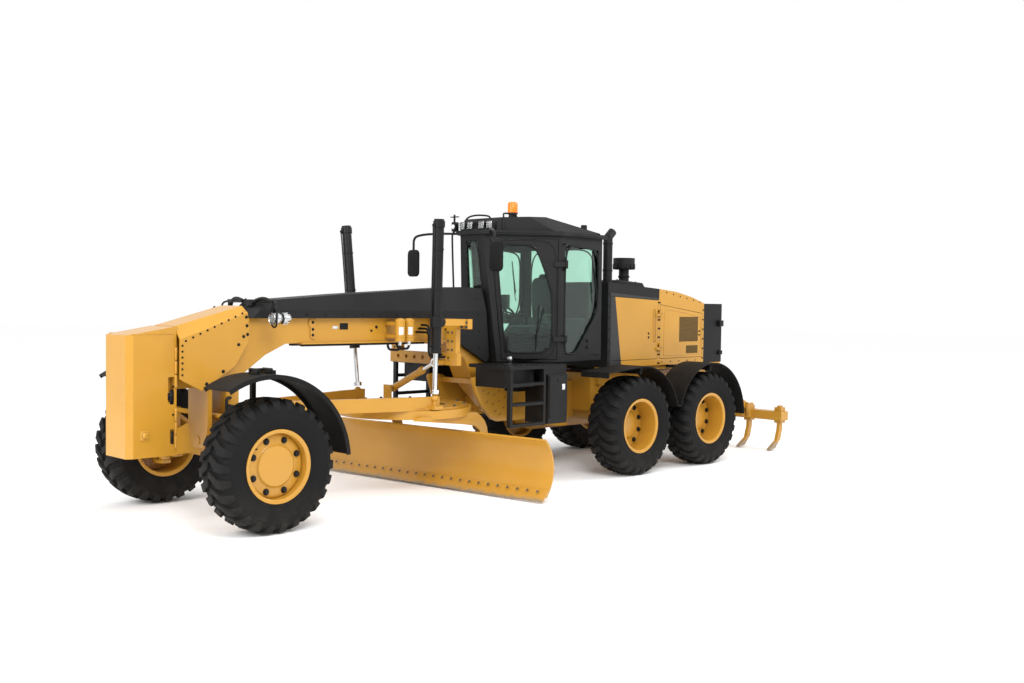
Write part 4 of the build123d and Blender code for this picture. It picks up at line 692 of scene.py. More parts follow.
def addWireField(mesh, low, high, side):
    (x0, z0), (x1, z1) = low, high
    wide, tall = x1 - x0, z1 - z0
    bar, margin, round = wireMesh["bar"], wireMesh["margin"], wireMesh["round"]
    sheet = Matrix.Translation(hoodSide(x0, z0, side, 0)) @ turned(hood["turn"] * side, "Z")
    # the sheet across the whole field is painted shade: a dark sheet where the space behind the wires lies in
    # shadow
    addBox(mesh, (0, -0.001 * side, 0), (wide, wireMesh["sheet"] * side, tall), round, sheet)
    for index in range(math.floor(wide / wireMesh["pitch"] + 0.5)):
        x = index * wireMesh["pitch"] + bar
        addBox(mesh, (x, 0.001 * side, margin), (x + bar, wireMesh["uprights"] * side, tall - margin), round,
               sheet)
    for index in range(math.floor(tall / wireMesh["pitch"] + 0.5)):
        z = index * wireMesh["pitch"] + bar
        addBox(mesh, (margin, 0.001 * side, z), (wide - margin, wireMesh["rungs"] * side, z + bar), round,
               sheet)


for side, hand in hands:
    for end, latch in latches.items():
        mesh = startMesh()
        for x, z in latch["spots"]:
            addTurned(mesh, latch["button"], hoodSide(x, z, side, 0), hoodOut(side))
        finishPiece(mesh, end + "DoorLatch" + hand, end + "_service_door_" + hand.lower(), "blackBolt", 30)
    rearDoor = "rear_service_door_" + hand.lower()
    mesh = startMesh()
    for low, high in wireMesh["fields"]:
        addWireField(mesh, low, high, side)
    finishPiece(mesh, "wireMesh" + hand, rearDoor, "grilleInPaintedShade", 0)
    route = [hoodSide(x, z, side, doorBead["out"]) for x, z in doorBead["outline"]]
    pipeAlong("rearDoorBead" + hand, [route[0], *route], doorBead["radius"], rearDoor, "yellowPaint",
              closed=True)
    route = [hoodSide(doorGrab["x"], z, side, out) for z, out in doorGrab["route"]]
    pipeAlong("doorGrab" + hand, route, doorGrab["radius"], "front_service_door_" + hand.lower(),
              "yellowPaint")

topBlock = {
    "outline": ((-1.80, 2.437), (-1.84, 2.50), (-2.36, 2.47), (-2.42, 2.405)), "low": -0.02, "high": 0.42,
    "bolts": ((-1.90, 2.502), (-2.30, 2.478)), "boltRows": (0.06, 0.34),
}
mesh = startMesh()
addPlate(mesh, "xz", topBlock["outline"], topBlock["low"], topBlock["high"], 0.012)
for x, z in topBlock["bolts"]:
    for y in topBlock["boltRows"]:
        addBolt(mesh, (x, y, z), (0.05, 0, 1), 0.010, 0.008)
finishPiece(mesh, "hoodTopBlock", "rear_body", "satinBlack", 40)

preCleaner = {
    "bowl": ((0.0, 0.155), (0.06, 0.152), (0.11, 0.140), (0.142, 0.110), (0.150, 0.070), (0.150, 0.030),
             (0.152, 0.0), (0.140, -0.006), (0.060, -0.008)),
    "bowlAt": (-2.215, 0.20, 2.658), "fins": 14, "finsAt": (-2.215, 0.20, 2.660),
    "clamp": ((0.070, -0.02), (0.080, -0.018), (0.080, 0.004), (0.070, 0.006)),
    "clampAt": (-2.215, 0.20, 2.56),
}
mesh = startMesh()
addTurned(mesh, preCleaner["bowl"], preCleaner["bowlAt"], upward, 40)
for index in range(preCleaner["fins"]):
    place = Matrix.Translation(preCleaner["finsAt"]) @ turned(360 * index / preCleaner["fins"], "Z")
    addBox(mesh, (0.1505, -0.006, 0.0), (0.1565, 0.006, 0.070), 0.002, place)
addTurned(mesh, preCleaner["clamp"], preCleaner["clampAt"], upward, 32)
finishPiece(mesh, "preCleaner", "rear_body", "fenderPlastic")

stackClamp = {"ring": ((0.0622, -0.014), (0.068, -0.012), (0.068, 0.012), (0.0622, 0.014)), "x": -1.625,
              "y": 0.40, "heights": (2.62, 2.98)}
mesh = startMesh()
for z in stackClamp["heights"]:
    addTurned(mesh, stackClamp["ring"], (stackClamp["x"], stackClamp["y"], z), upward, 32)
finishPiece(mesh, "stackClamps", "rear_body", "blackPaint")

# corners of a box on the left; the right one is its mirror image
rearLamp = {"body": ((-4.19, 0.486, 1.86), (-4.09, 0.53, 1.95)),
            "foot": ((-4.19, 0.486, 1.44), (-4.11, 0.515, 1.50)),
            "lens": ((-4.194, 0.492, 1.868), (-4.188, 0.524, 1.942))}
mesh = startMesh()
for side, _ in hands:
    addBox(mesh, *mirrored(rearLamp["body"], side), 0.008)
    addBox(mesh, *mirrored(rearLamp["foot"], side), 0.006)
finishPiece(mesh, "rearLampBodies", "rear_body", "blackPaint")
mesh = startMesh()
for side, _ in hands:
    addBox(mesh, *mirrored(rearLamp["lens"], side), 0.002)
finishPiece(mesh, "rearLampLenses", "rear_body", "signalRed")
print("hood trimmed")

# cab doors: placed by the distance along the door, out of it, and up
door = {
    "corner": Vector((-0.305, 0.77, 0)), "along": Vector((0.8144, -0.5803, 0)),
    "out": Vector((0.5803, 0.8144, 0)), "turn": -35.47,
    # along, up
    "window": [(0.105, 1.640), (0.240, 1.560), (0.640, 1.560), (0.705, 1.690), (0.815, 2.880), (0.330, 2.880),
               (0.105, 2.300)],
    "edge": [(0.055, 1.49), (0.725, 1.49), (0.872, 2.935), (0.055, 2.935)],
    "sealRadius": 0.011, "edgeRadius": 0.007,
    "handle": (0.672, 0.0, 1.66), "handleFoot": ((-0.022, -0.002, -0.09), (0.022, 0.010, 0.09)),
    "handleGrip": ((-0.012, 0.008, -0.075), (0.012, 0.034, 0.075)),
    "arm": ((0.20, 0.008, 2.10), (0.21, 0.030, 2.10), (0.25, 0.028, 1.98), (0.31, 0.020, 1.72)),
    "armRadius": 0.006,
    "blade": (0.29, 0.0, 1.84), "bladeLean": -4, "bladeBox": ((-0.005, -0.012, -0.26), (0.005, 0.012, 0.30)),
    "hinge": ((0.0, -0.052), (0.0185, -0.050), (0.0195, -0.046), (0.0195, 0.046), (0.0185, 0.050),
              (0.0, 0.052)),
    "hinges": ((-0.060, 0.020, 1.73), (-0.060, 0.020, 2.65)),
}
# the cab's flat rear sides: half width at x, which slopes in to the rear
rearWall = {"halfWidth": 0.77, "from": -0.305, "slope": 0.07 / 0.85,
            "window": [(-0.38, 1.545), (-0.38, 2.90), (-1.08, 2.85), (-1.08, 2.08), (-0.62, 1.545)]}


def doorSpot(u, d, z, side=1):
    spot = door["corner"] + door["along"] * u + door["out"] * d + Vector((0, 0, z))
    return Vector((spot.x, side * spot.y, spot.z))


def doorPlace(spot, side, lean=0):
    flat = Matrix.Translation(doorSpot(*spot, side)) @ turned(door["turn"] * side, "Z")
    return flat @ turned(lean, "Y") @ Matrix.Diagonal((1, side, 1, 1))


def rearSide(x, z, side, out=0.0):
    return Vector((x, side * (rearWall["halfWidth"] + (x - rearWall["from"]) * rearWall["slope"] + out), z))


# closed route round an outline, three points to a side so that the corners stay tight
def ringRoute(outline, place):
    points = []
    for (a0, b0), (a1, b1) in zip(outline, outline[1:] + outline[:1]):
        for share in (0.12, 0.5, 0.88):
            points.append(place(a0 + (a1 - a0) * share, b0 + (b1 - b0) * share))
    return points


for side, hand in ((1, "left"), (-1, "right")):
    doorBody = "cab_door_" + hand
    route = ringRoute(door["window"], lambda u, z: doorSpot(u, 0.001, z, side))
    pipeAlong("doorSeal_" + hand, route, door["sealRadius"], doorBody, "hoseRubber", closed=True)
    route = ringRoute(door["edge"], lambda u, z: doorSpot(u, 0.0005, z, side))
    pipeAlong("doorRim_" + hand, route, door["edgeRadius"], doorBody, "hoseRubber", closed=True)
    route = ringRoute(rearWall["window"], lambda x, z: rearSide(x, z, side, 0.001))
    pipeAlong("sideSeal_" + hand, route, door["sealRadius"], "front_body", "hoseRubber", closed=True)
    mesh = startMesh()
    place = doorPlace(door["handle"], side)
    addBox(mesh, *door["handleFoot"], 0.006, place)
    addBox(mesh, *door["handleGrip"], 0.008, place)
    finishPiece(mesh, "doorHandle_" + hand, doorBody, "hoseRubber")
    route = [doorSpot(*spot, side) for spot in door["arm"]]
    pipeAlong("doorWiperArm_" + hand, route, door["armRadius"], doorBody, "blackPaint")
    mesh = startMesh()
    addBox(mesh, *door["bladeBox"], 0.002, doorPlace(door["blade"], side, door["bladeLean"]))
    finishPiece(mesh, "doorWiperBlade_" + hand, doorBody, "hoseRubber")
    mesh = startMesh()
    for spot in door["hinges"]:
        addTurned(mesh, door["hinge"], doorSpot(*spot, side), upward, 20)
    finishPiece(mesh, "doorHinges_" + hand, "front_body", "blackPaint")

screen = {
    "wiper": [(0.395, 0.0, 1.54), (0.405, 0.0, 1.56), (0.425, 0.03, 1.9), (0.455, 0.07, 2.35)],
    "wiperRadius": 0.007, "sealRadius": 0.010,
    # y, z of the front and the back window
    "front": [(-0.150, 1.56), (0.150, 1.56), (0.110, 2.92), (-0.110, 2.92)],
    "back": [(-0.56, 1.70), (0.56, 1.70), (0.56, 2.88), (-0.56, 2.88)],
    "frontX": 0.341, "frontFrom": 1.45, "frontRake": 0.1, "backX": -1.156,
}
pipeAlong("screenWiper", screen["wiper"], screen["wiperRadius"], "front_body", "blackPaint")
route = ringRoute(screen["front"],
                  lambda y, z: (screen["frontX"] + (z - screen["frontFrom"]) * screen["frontRake"], y, z))
pipeAlong("screenSeal", route, screen["sealRadius"], "front_body", "hoseRubber", closed=True)
route = ringRoute(screen["back"], lambda y, z: (screen["backX"], y, z))
pipeAlong("backSeal", route, screen["sealRadius"], "front_body", "hoseRubber", closed=True)

# roof: hoop over the lamps, rear stalk, bead round the edge
roof = {
    "hoop": ((0.30, 0.36, 3.045), (0.30, 0.36, 3.14), (0.27, 0.33, 3.235), (0.20, 0.25, 3.268),
             (0.02, 0.24, 3.275), (-0.05, 0.235, 3.262), (-0.06, 0.23, 3.215)),
    "hoopRadius": 0.011,
    "stalk": ((0.0, 0.10), (0.034, 0.098), (0.040, 0.09), (0.040, 0.03), (0.030, 0.02), (0.020, 0.0),
              (0.0, -0.01)),
    "stalkAt": (-1.02, 0.50, 3.085),
    "edge": [(0.54, 0.235), (-0.30, 0.822), (-1.205, 0.748), (-1.205, -0.748), (-0.30, -0.822),
             (0.54, -0.235)],
    "edgeHeight": 3.025, "edgeRadius": 0.010,
}
for side, hand in hands:
    pipeAlong("roofHoop" + hand, mirrored(roof["hoop"], side), roof["hoopRadius"], "front_body", "blackPaint")
    mesh = startMesh()
    addTurned(mesh, roof["stalk"], *mirrored([roof["stalkAt"]], side), upward, 24)
    finishPiece(mesh, "rearStalk" + hand, "front_body", "blackPaint")
route = ringRoute(roof["edge"], lambda x, y: (x, y, roof["edgeHeight"]))
pipeAlong("roofBead", route, roof["edgeRadius"], "front_body", "hoseRubber", closed=True)

roofLamp = {
    "across": {"roofInnerLeft": 0.1025, "roofInnerRight": -0.1025, "roofOuterLeft": 0.2425,
               "roofOuterRight": -0.2425},
    "x": 0.440, "z": 3.115, "halfWide": 0.050, "halfHigh": 0.052, "deep": 0.098, "lensBack": 0.014,
    "fins": 5, "finPitch": 0.012, "fin": 0.005, "lensShare": 0.86,
    "bulb": ((0.0, -0.004), (0.006, -0.002), (0.012, 0.005)), "bulbAcross": 0.028, "bulbUp": 0.029,
}


def makeRoofLamp(name, y):
    x, z, halfWide, halfHigh = (roofLamp[key] for key in ("x", "z", "halfWide", "halfHigh"))
    mesh = startMesh()
    addBox(mesh, (x - roofLamp["deep"], y - halfWide, z - halfHigh),
           (x - roofLamp["lensBack"], y + halfWide, z + halfHigh), 0.012)
    for step in range(roofLamp["fins"]):
        fin = x - 0.094 + step * roofLamp["finPitch"]
        addBox(mesh, (fin, y - halfWide - 0.002, z - halfHigh),
               (fin + roofLamp["fin"], y + halfWide + 0.002, z + halfHigh), 0.001)
    finishPiece(mesh, name + "Body", "front_body", "blackPaint")
    wide, high = halfWide * roofLamp["lensShare"], halfHigh * roofLamp["lensShare"]
    mesh = startMesh()
    addBox(mesh, (x - 0.016, y - wide, z - high), (x - 0.006, y + wide, z + high), 0.006)
    for row in (-1, 0, 1):
        for column in (-1, 0, 1):
            spot = (x - 0.007, y + column * roofLamp["bulbAcross"], z + row * roofLamp["bulbUp"])
            addTurned(mesh, roofLamp["bulb"], spot, forward, 12)
    finishPiece(mesh, name + "Glow", "front_body", "lampMirror")


for name, y in roofLamp["across"].items():
    makeRoofLamp(name, y)

beacon = {
    "spot": (-0.215, 0, 3.24), "ribs": 12, "rib": ((0.0625, -0.002, 0.08), (0.0645, 0.002, 0.19)),
    "lens": ((0.0, 0.209), (0.044, 0.207), (0.056, 0.200), (0.062, 0.185), (0.0635, 0.10), (0.0635, 0.072)),
    "foot": ((0.0, -0.015), (0.05, -0.015), (0.052, 0.05), (0.066, 0.055), (0.066, 0.074), (0.0, 0.075)),
}
mesh = startMesh()
addTurned(mesh, beacon["lens"], beacon["spot"], upward, 40)
for index in range(beacon["ribs"]):
    addBox(mesh, *beacon["rib"], 0.0008,
           Matrix.Translation(beacon["spot"]) @ turned(360 * index / beacon["ribs"], "Z"))
finishPiece(mesh, "beaconLens", "front_body", "amberLens", 40)
mesh = startMesh()
addTurned(mesh, beacon["foot"], beacon["spot"], upward, 40)
finishPiece(mesh, "beaconFoot", "front_body", "blackPaint")

# headlamps: spots and routes of the left one
headlamp = {
    "spot": (3.56, 0.45, 1.98),
    "can": ((0.0, -0.060), (0.030, -0.056), (0.052, -0.035), (0.0615, 0.0), (0.0615, 0.052), (0.056, 0.060),
            (0.052, 0.050)),
    "lens": ((0.0, 0.052), (0.020, 0.0518), (0.040, 0.049), (0.052, 0.044)),
    "hoop": ((3.575, 0.40, 2.15), (3.60, 0.50, 2.15), (3.61, 0.53, 2.08), (3.61, 0.53, 1.92),
             (3.60, 0.48, 1.89), (3.58, 0.40, 1.90), (3.575, 0.36, 1.96)),
    "hoopRadius": 0.010, "post": ((3.562, 0.385, 2.01), (3.598, 0.425, 2.168)),
    "bar": ((3.56, -0.43, 2.135), (3.60, 0.43, 2.170)),
    "barFoot": ((3.555, -0.06, 2.096), (3.605, 0.06, 2.138)),
    "barBolts": (-0.3, -0.1, 0.1, 0.3),
    "arm": ((3.60, 0.12, 2.155), (3.60, 0.22, 2.185), (3.59, 0.34, 2.170), (3.555, 0.435, 2.09),
            (3.545, 0.452, 2.03)),
    "armRadius": 0.019, "shellSpot": (3.40, 0.45, 1.98), "shellRibs": 8,
    "shell": ((0.0, 0.0), (0.020, 0.0), (0.040, 0.012), (0.052, 0.045), (0.056, 0.09), (0.056, 0.10),
              (0.050, 0.10)),
    "shellRib": ((0.052, -0.003, 0.03), (0.0595, 0.003, 0.10)),
}
for side, hand in hands:
    spot = mirrored([headlamp["spot"]], side)[0]
    mesh = startMesh()
    addTurned(mesh, headlamp["can"], spot, forward, 36)
    finishPiece(mesh, "headlampCan" + hand, "front_body", "lampMirror")
    mesh = startMesh()
    addTurned(mesh, headlamp["lens"], spot, forward, 36)
    finishPiece(mesh, "headlampLens" + hand, "front_body", "clearLens", 60)
    pipeAlong("headlampHoop" + hand, mirrored(headlamp["hoop"], side), headlamp["hoopRadius"], "front_body",
              "blackPaint")
    mesh = startMesh()
    addBox(mesh, *mirrored(headlamp["post"], side), 0.006)
    finishPiece(mesh, "headlampPost" + hand, "front_body", "blackPaint")
mesh = startMesh()
addBox(mesh, *headlamp["bar"], 0.008)
addBox(mesh, *headlamp["barFoot"], 0.006)
for y in headlamp["barBolts"]:
    addBolt(mesh, (3.58, y, 2.170), upward, 0.010, 0.008)
finishPiece(mesh, "headlampBar", "front_body", "blackPaint")


def roundedOutline(a0, a1, b0, b1, radius, steps=5):
    points = []
    for quarter, (a, b) in enumerate(((a1 - radius, b1 - radius), (a0 + radius, b1 - radius),
                                      (a0 + radius, b0 + radius), (a1 - radius, b0 + radius))):
        for step in range(steps + 1):
            turn = math.pi / 2 * (quarter + step / steps)
            points.append((a + radius * math.cos(turn), b + radius * math.sin(turn)))
    return points


# mirrors: arm, and two opposite corners of the housing
mirrors = {
    "Left": dict(arm=[(0.43, 0.29, 3.02), (0.70, 0.52, 3.025), (0.93, 0.82, 3.015), (1.025, 0.95, 2.97),
                      (1.025, 0.955, 2.90), (1.025, 0.96, 2.80)],
                 low=(1.006, 0.882, 2.522), high=(1.044, 1.088, 2.858)),
    "Right": dict(arm=[(0.43, -0.29, 3.02), (0.60, -0.50, 3.025), (0.76, -0.70, 3.0), (0.797, -0.735, 2.95),
                       (0.797, -0.735, 2.86), (0.797, -0.734, 2.76)],
                  low=(0.778, -0.836, 2.482), high=(0.816, -0.632, 2.818)),
}
mirrorShape = {"armRadius": 0.015, "corner": 0.055, "glassCorner": 0.045, "margin": 0.015, "round": 0.014}
for hand, spot in mirrors.items():
    pipeAlong("mirrorArm" + hand, spot["arm"], mirrorShape["armRadius"], "front_body", "blackPaint")
    low, high, margin = spot["low"], spot["high"], mirrorShape["margin"]
    mesh = startMesh()
    outline = roundedOutline(low[1], high[1], low[2], high[2], mirrorShape["corner"])
    addPlate(mesh, "yz", outline, low[0], high[0], mirrorShape["round"])
    finishPiece(mesh, "mirrorHousing" + hand, "front_body", "fenderPlastic", 40)
    mesh = startMesh()
    outline = roundedOutline(low[1] + margin, high[1] - margin, low[2] + margin, high[2] - margin,
                             mirrorShape["glassCorner"])
    addPlate(mesh, "yz", outline, low[0] - 0.0015, low[0] + 0.003, 0.001)
    finishPiece(mesh, "mirrorGlass" + hand, "front_body", "lampMirror", 40)
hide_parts("mirrors")
print("cab outside trimmed")

# on the rear sides: wiper, hand loop on the post and latch, by x, z and the distance out; filler caps ahead
rearWiper = {"arm": ((-1.02, 2.20, 0.006), (-1.02, 2.22, 0.026), (-1.00, 2.40, 0.022), (-0.96, 2.62, 0.018)),
             "armRadius": 0.006, "blade": (-0.975, 2.52), "lean": 10, "halfBlade": 0.22}
postLoop = {"x": -0.345, "radius": 0.010,
            "route": ((2.90, 0), (2.90, 0.035), (2.86, 0.045), (2.62, 0.045), (2.58, 0.035), (2.58, 0))}
lowerLatch = {"x": -0.86, "buttons": (1.62, 1.70),
              "button": ((0.0, 0.022), (0.016, 0.020), (0.020, 0.010), (0.020, -0.004)),
              "strip": ((-1.10, 0.709, 1.52), (-0.76, 0.718, 1.56))}
filler = {"spot": (0.30, 0.50, 1.44), "axis": (0.15, 0, 1),
          "cap": ((0.0, 0.085), (0.024, 0.084), (0.034, 0.078), (0.036, 0.050), (0.030, 0.044),
                  (0.030, 0.038)),
          "neck": ((0.028, -0.004), (0.030, 0.0), (0.026, 0.006), (0.026, 0.040), (0.0, 0.041))}
for side, hand in hands:
    route = [rearSide(x, z, side, out) for x, z, out in rearWiper["arm"]]
    pipeAlong("rearWiperArm" + hand, route, rearWiper["armRadius"], "front_body", "blackPaint")
    mesh = startMesh()
    lean = Matrix.Translation(rearSide(*rearWiper["blade"], side)) @ turned(rearWiper["lean"], "Y")
    addBox(mesh, (-0.005, 0.0, -rearWiper["halfBlade"]), (0.005, side * 0.014, rearWiper["halfBlade"]), 0.002,
           lean)
    finishPiece(mesh, "rearWiperBlade" + hand, "front_body", "hoseRubber")
    route = [rearSide(postLoop["x"], z, side, out) for z, out in postLoop["route"]]
    pipeAlong("postLoop" + hand, route, postLoop["radius"], "front_body", "blackPaint")
    mesh = startMesh()
    for z in lowerLatch["buttons"]:
        addTurned(mesh, lowerLatch["button"], rearSide(lowerLatch["x"], z, side, 0), (0, side, 0), 20)
    addBox(mesh, *mirrored(lowerLatch["strip"], side), 0.003)
    finishPiece(mesh, "lowerPanelLatch" + hand, "front_body", "blackPaint")
    spot = mirrored([filler["spot"]], side)[0]
    for part, profile, look in (("Cap", filler["cap"], "chromedRod"), ("Neck", filler["neck"], "blackPaint")):
        mesh = startMesh()
        addTurned(mesh, profile, spot, filler["axis"], 24)
        finishPiece(mesh, "filler" + part + hand, "front_body", look)

corner = {
    "pole": [(0.44, -0.33, 2.20), (0.470, -0.335, 2.22), (0.475, -0.335, 2.30), (0.510, -0.335, 2.95),
             (0.505, -0.335, 3.03), (0.47, -0.335, 3.05)],
    "poleRadius": 0.012,
    # two opposite corners, rounding
    "boxes": (((0.40, -0.40, 3.05), (0.47, -0.33, 3.17), 0.01),
              ((0.455, -0.355, 3.16), (0.475, -0.335, 3.26), 0.004),
              ((0.44, -0.41, 3.225), (0.48, -0.28, 3.237), 0.004)),
    "lens": ((0.0, 0.008), (0.024, 0.006), (0.030, 0.0)), "lensAt": (0.472, -0.365, 3.11),
}
pipeAlong("cornerPole", corner["pole"], corner["poleRadius"], "front_body", "blackPaint")
mesh = startMesh()
for low, high, round in corner["boxes"]:
    addBox(mesh, low, high, round)
finishPiece(mesh, "cornerLampBody", "front_body", "blackPaint")
mesh = startMesh()
addTurned(mesh, corner["lens"], corner["lensAt"], forward, 24)
finishPiece(mesh, "cornerLampGlass", "front_body", "lampWhite")
print("cab extras on")

# push block: hinge knuckles, side pocket, slots drawn as painted shade, and bolts, on both sides
pushBlock = {
    "knuckles": ((0.74, 0.86), (0.87, 0.99), (1.00, 1.12), (1.32, 1.44), (1.45, 1.57), (1.58, 1.70)),
    "hingeAt": (4.540, 0.243), "pocket": (4.80, 4.90, 0.83, 0.93, 0.02), "face": 0.2345, "pocketOut": 0.2420,
    "button": ((0.0, 0.020), (0.020, 0.018), (0.030, 0.008), (0.034, 0.0)), "buttonAt": (4.845, 0.240, 0.88),
    "lip": ((4.56, 0.2345, 1.825), (4.98, 0.2385, 1.837)),
    # x and z of two opposite corners
    "slotShades": (((4.560, 1.16), (4.600, 1.30)), ((4.600, 1.20), (4.622, 1.27)), ((4.560, 0.78), (4.585, 0.90))),
    "bolts": ((4.566, 1.33), (4.566, 1.06)),
}
mesh = startMesh()
for side, _ in hands:
    for low, high in pushBlock["knuckles"]:
        addTurned(mesh, ((0.0, low), (0.010, low), (0.012, low + 0.003), (0.012, high - 0.003), (0.010, high),
                         (0.0, high)),
                  (pushBlock["hingeAt"][0], side * pushBlock["hingeAt"][1], 0.0), upward, 14)
    addPlate(mesh, "xz", roundedOutline(*pushBlock["pocket"]), side * pushBlock["face"],
             side * pushBlock["pocketOut"], 0.004)
    addTurned(mesh, pushBlock["button"], *mirrored([pushBlock["buttonAt"]], side), (0, side, 0), 20)
    addBox(mesh, *mirrored(pushBlock["lip"], side), 0.002)
finishPiece(mesh, "pushHinges", "front_body", "yellowPaint")
mesh = startMesh()
for side, _ in hands:
    # the slots are flat black boxes on the face: painted shade in place of the shadowed openings; the bolts
    # are real black bolts
    for (x0, z0), (x1, z1) in pushBlock["slotShades"]:
        addBox(mesh, (x0, side * 0.2348, z0), (x1, side * 0.2360, z1), 0.0005)
    for x, z in pushBlock["bolts"]:
        addBolt(mesh, (x, side * 0.236, z), (0, side, 0), 0.008, 0.006)
finishPiece(mesh, "pushSlotShadesAndBolts", "front_body", "blackBolt", 30)

# gooseneck beam: bracket with bolts, dark plate and white label, all blank
beam = {
    "face": 0.165, "bracket": ((2.90, 1.97), (2.985, 1.97), (2.985, 1.90), (2.965, 1.88), (2.965, 1.77),
                               (2.905, 1.75), (2.905, 1.88), (2.90, 1.90)),
    "bracketOut": 0.177, "bracketBolts": ((2.935, 1.80), (2.935, 1.86), (2.935, 1.935)),
    "plate": ((2.47, 0.1655, 1.855), (2.58, 0.1675, 1.925)),
    "label": ((2.60, 0.1655, 1.862), (2.675, 0.1670, 1.895)),
    # x, z, radius
    "bolts": ((2.08, 1.88, 0.013), (2.15, 1.84, 0.010)),
}
mesh = startMesh()
for side, _ in hands:
    addPlate(mesh, "xz", beam["bracket"], side * beam["face"], side * beam["bracketOut"], 0.003)
finishPiece(mesh, "beamBracket", "front_body", "yellowPaint")
mesh = startMesh()
for side, _ in hands:
    for x, z in beam["bracketBolts"]:
        addBolt(mesh, (x, side * beam["bracketOut"], z), (0, side, 0), 0.012, 0.008)
    addBox(mesh, *mirrored(beam["plate"], side), 0.001)
    for x, z, radius in beam["bolts"]:
        addBolt(mesh, (x, side * 0.1660, z), (0, side, 0), radius, 0.010)
finishPiece(mesh, "beamDark", "front_body", "blackBolt", 30)
mesh = startMesh()
for side, _ in hands:
    addBox(mesh, *mirrored(beam["label"], side), 0.0006)
finishPiece(mesh, "beamLabel", "front_body", "labelWhite", 30)
for side, hand in hands:
    pipeAlong("headlampArm" + hand, mirrored(headlamp["arm"], side), headlamp["armRadius"], "front_body",
              "blackPaint")
    spot = mirrored([headlamp["shellSpot"]], side)[0]
    mesh = startMesh()
    addTurned(mesh, headlamp["shell"], spot, forward, 32)
    for index in range(headlamp["shellRibs"]):
        place = Matrix.Translation(spot) @ facing(forward) @ turned(360 * index / headlamp["shellRibs"], "Z")
        addBox(mesh, *headlamp["shellRib"], 0.001, place)
    finishPiece(mesh, "headlampShell" + hand, "front_body", "lampMirror")

# grip slots punched in the side plates under the cab, drawn as flat black boxes on the plate that are painted
# shade in place of the shadowed openings: x, z of their middles
gripSlotShades = {
    "spots": ((0.52, 1.18), (0.60, 1.20), (0.40, 1.10), (0.48, 1.06), (0.58, 1.08), (0.66, 1.12),
              (0.40, 0.98),
              (0.50, 0.95), (0.60, 0.98), (0.46, 0.86), (0.30, 1.02), (0.32, 0.90), (0.22, 0.95),
              (0.38, 0.82)),
    "half": (0.022, 0.004), "face": 0.4198, "out": 0.4212, "lean": 35,
}
mesh = startMesh()
for side, _ in hands:
    halfLong, halfHigh = gripSlotShades["half"]
    for x, z in gripSlotShades["spots"]:
        addBox(mesh, (-halfLong, side * gripSlotShades["face"], -halfHigh),
               (halfLong, side * gripSlotShades["out"], halfHigh),
               0.0006, Matrix.Translation((x, 0, z)) @ turned(gripSlotShades["lean"], "Y"))
finishPiece(mesh, "gripSlotShades", "front_body", "blackBolt", 30)

fenderClamp = {
    "feet": (4.06, 4.20), "halfFoot": 0.022, "low": (1.00, 1.478), "high": (1.14, 1.512),
    "tubeAt": (1.07, 1.518),
    "tube": ((0.0, -0.075), (0.015, -0.075), (0.018, -0.070), (0.018, 0.070), (0.015, 0.075), (0.0, 0.075)),
    "rod": ((0.0, -0.10), (0.012, -0.10), (0.012, 0.10), (0.0, 0.10)), "rodAt": (4.13, 1.03, 1.520),
}
for side, hand in ((1, "left"), (-1, "right")):
    mesh = startMesh()
    for x in fenderClamp["feet"]:
        (y0, z0), (y1, z1), (tubeY, tubeZ) = (fenderClamp[key] for key in ("low", "high", "tubeAt"))
        addBox(mesh, (x - fenderClamp["halfFoot"], side * y0, z0),
               (x + fenderClamp["halfFoot"], side * y1, z1), 0.008)
        addTurned(mesh, fenderClamp["tube"], (x, side * tubeY, tubeZ), leftward, 20)
    addTurned(mesh, fenderClamp["rod"], *mirrored([fenderClamp["rodAt"]], side), forward, 16)
    finishPiece(mesh, "fenderClamp_" + hand, "knuckle_" + hand, "blackPaint")
print("nose and beam dressed")

# cushions: a subdivided block pulled round, with a crown and stitched channels on its upper side
padShape = {"cuts": 15, "power": 5, "waist": 0.035, "channel": 0.045, "channelDeep": 0.16}


def padPiece(name, low, high, crown, channels=()):
    mesh = startMesh()
    bmesh.ops.create_cube(mesh, size=2)
    bmesh.ops.subdivide_edges(mesh, edges=mesh.edges[:], cuts=padShape["cuts"], use_grid_fill=True)
    middle = Vector([(a + b) / 2 for a, b in zip(low, high)])
    half = Vector([(b - a) / 2 for a, b in zip(low, high)])
    for vert in mesh.verts:
        reach = sum(abs(part) ** padShape["power"] for part in vert.co) ** (1 / padShape["power"])
        u, v, w = vert.co.x / reach, vert.co.y / reach, vert.co.z / reach
        pull = 1 - padShape["waist"] * (1 - w * w)
        line = sum(math.exp(-((v - at) / padShape["channel"]) ** 2) for at in channels)
        w = w * (1 - crown * (u ** 4 + v ** 4) / 2) - (padShape["channelDeep"] * line if w > 0 else 0)
        vert.co = Vector((middle.x + half.x * u * pull, middle.y + half.y * v * pull, middle.z + half.z * w))
    piece = finishPiece(mesh, name, "front_body", "seatWeave", 180)
    return piece


seat = {
    # opposite corners, crown, channels across, then where it stands and how far it tips back
    "seatCushion": ((-0.815, -0.245, 1.765), (-0.305, 0.245, 1.888), 0.32, (-0.55, 0.55), (0, 0, 0), 0),
    "seatBack": ((-0.36, -0.235, -0.045), (0.36, 0.235, 0.045), 0.25, (-0.6, 0.6), (-0.846, 0, 2.16), -86),
    "headRest": ((-0.07, -0.13, -0.03), (0.07, 0.13, 0.03), 0.2, (), (-0.862, 0, 2.485), -88),
}
bellows = {"folds": 7, "foot": 1.495, "pitch": 0.036, "fold": 0.034, "half": 0.19, "nip": 0.006, "x": -0.56,
           "pan": ((-0.80, -0.235, 1.742), (-0.34, 0.235, 1.770))}
for name, (low, high, crown, channels, stand, tip) in seat.items():
    pad = padPiece(name, low, high, crown, channels)
    if tip:
        pad.data.transform(Matrix.Translation(stand) @ turned(tip, "Y"))
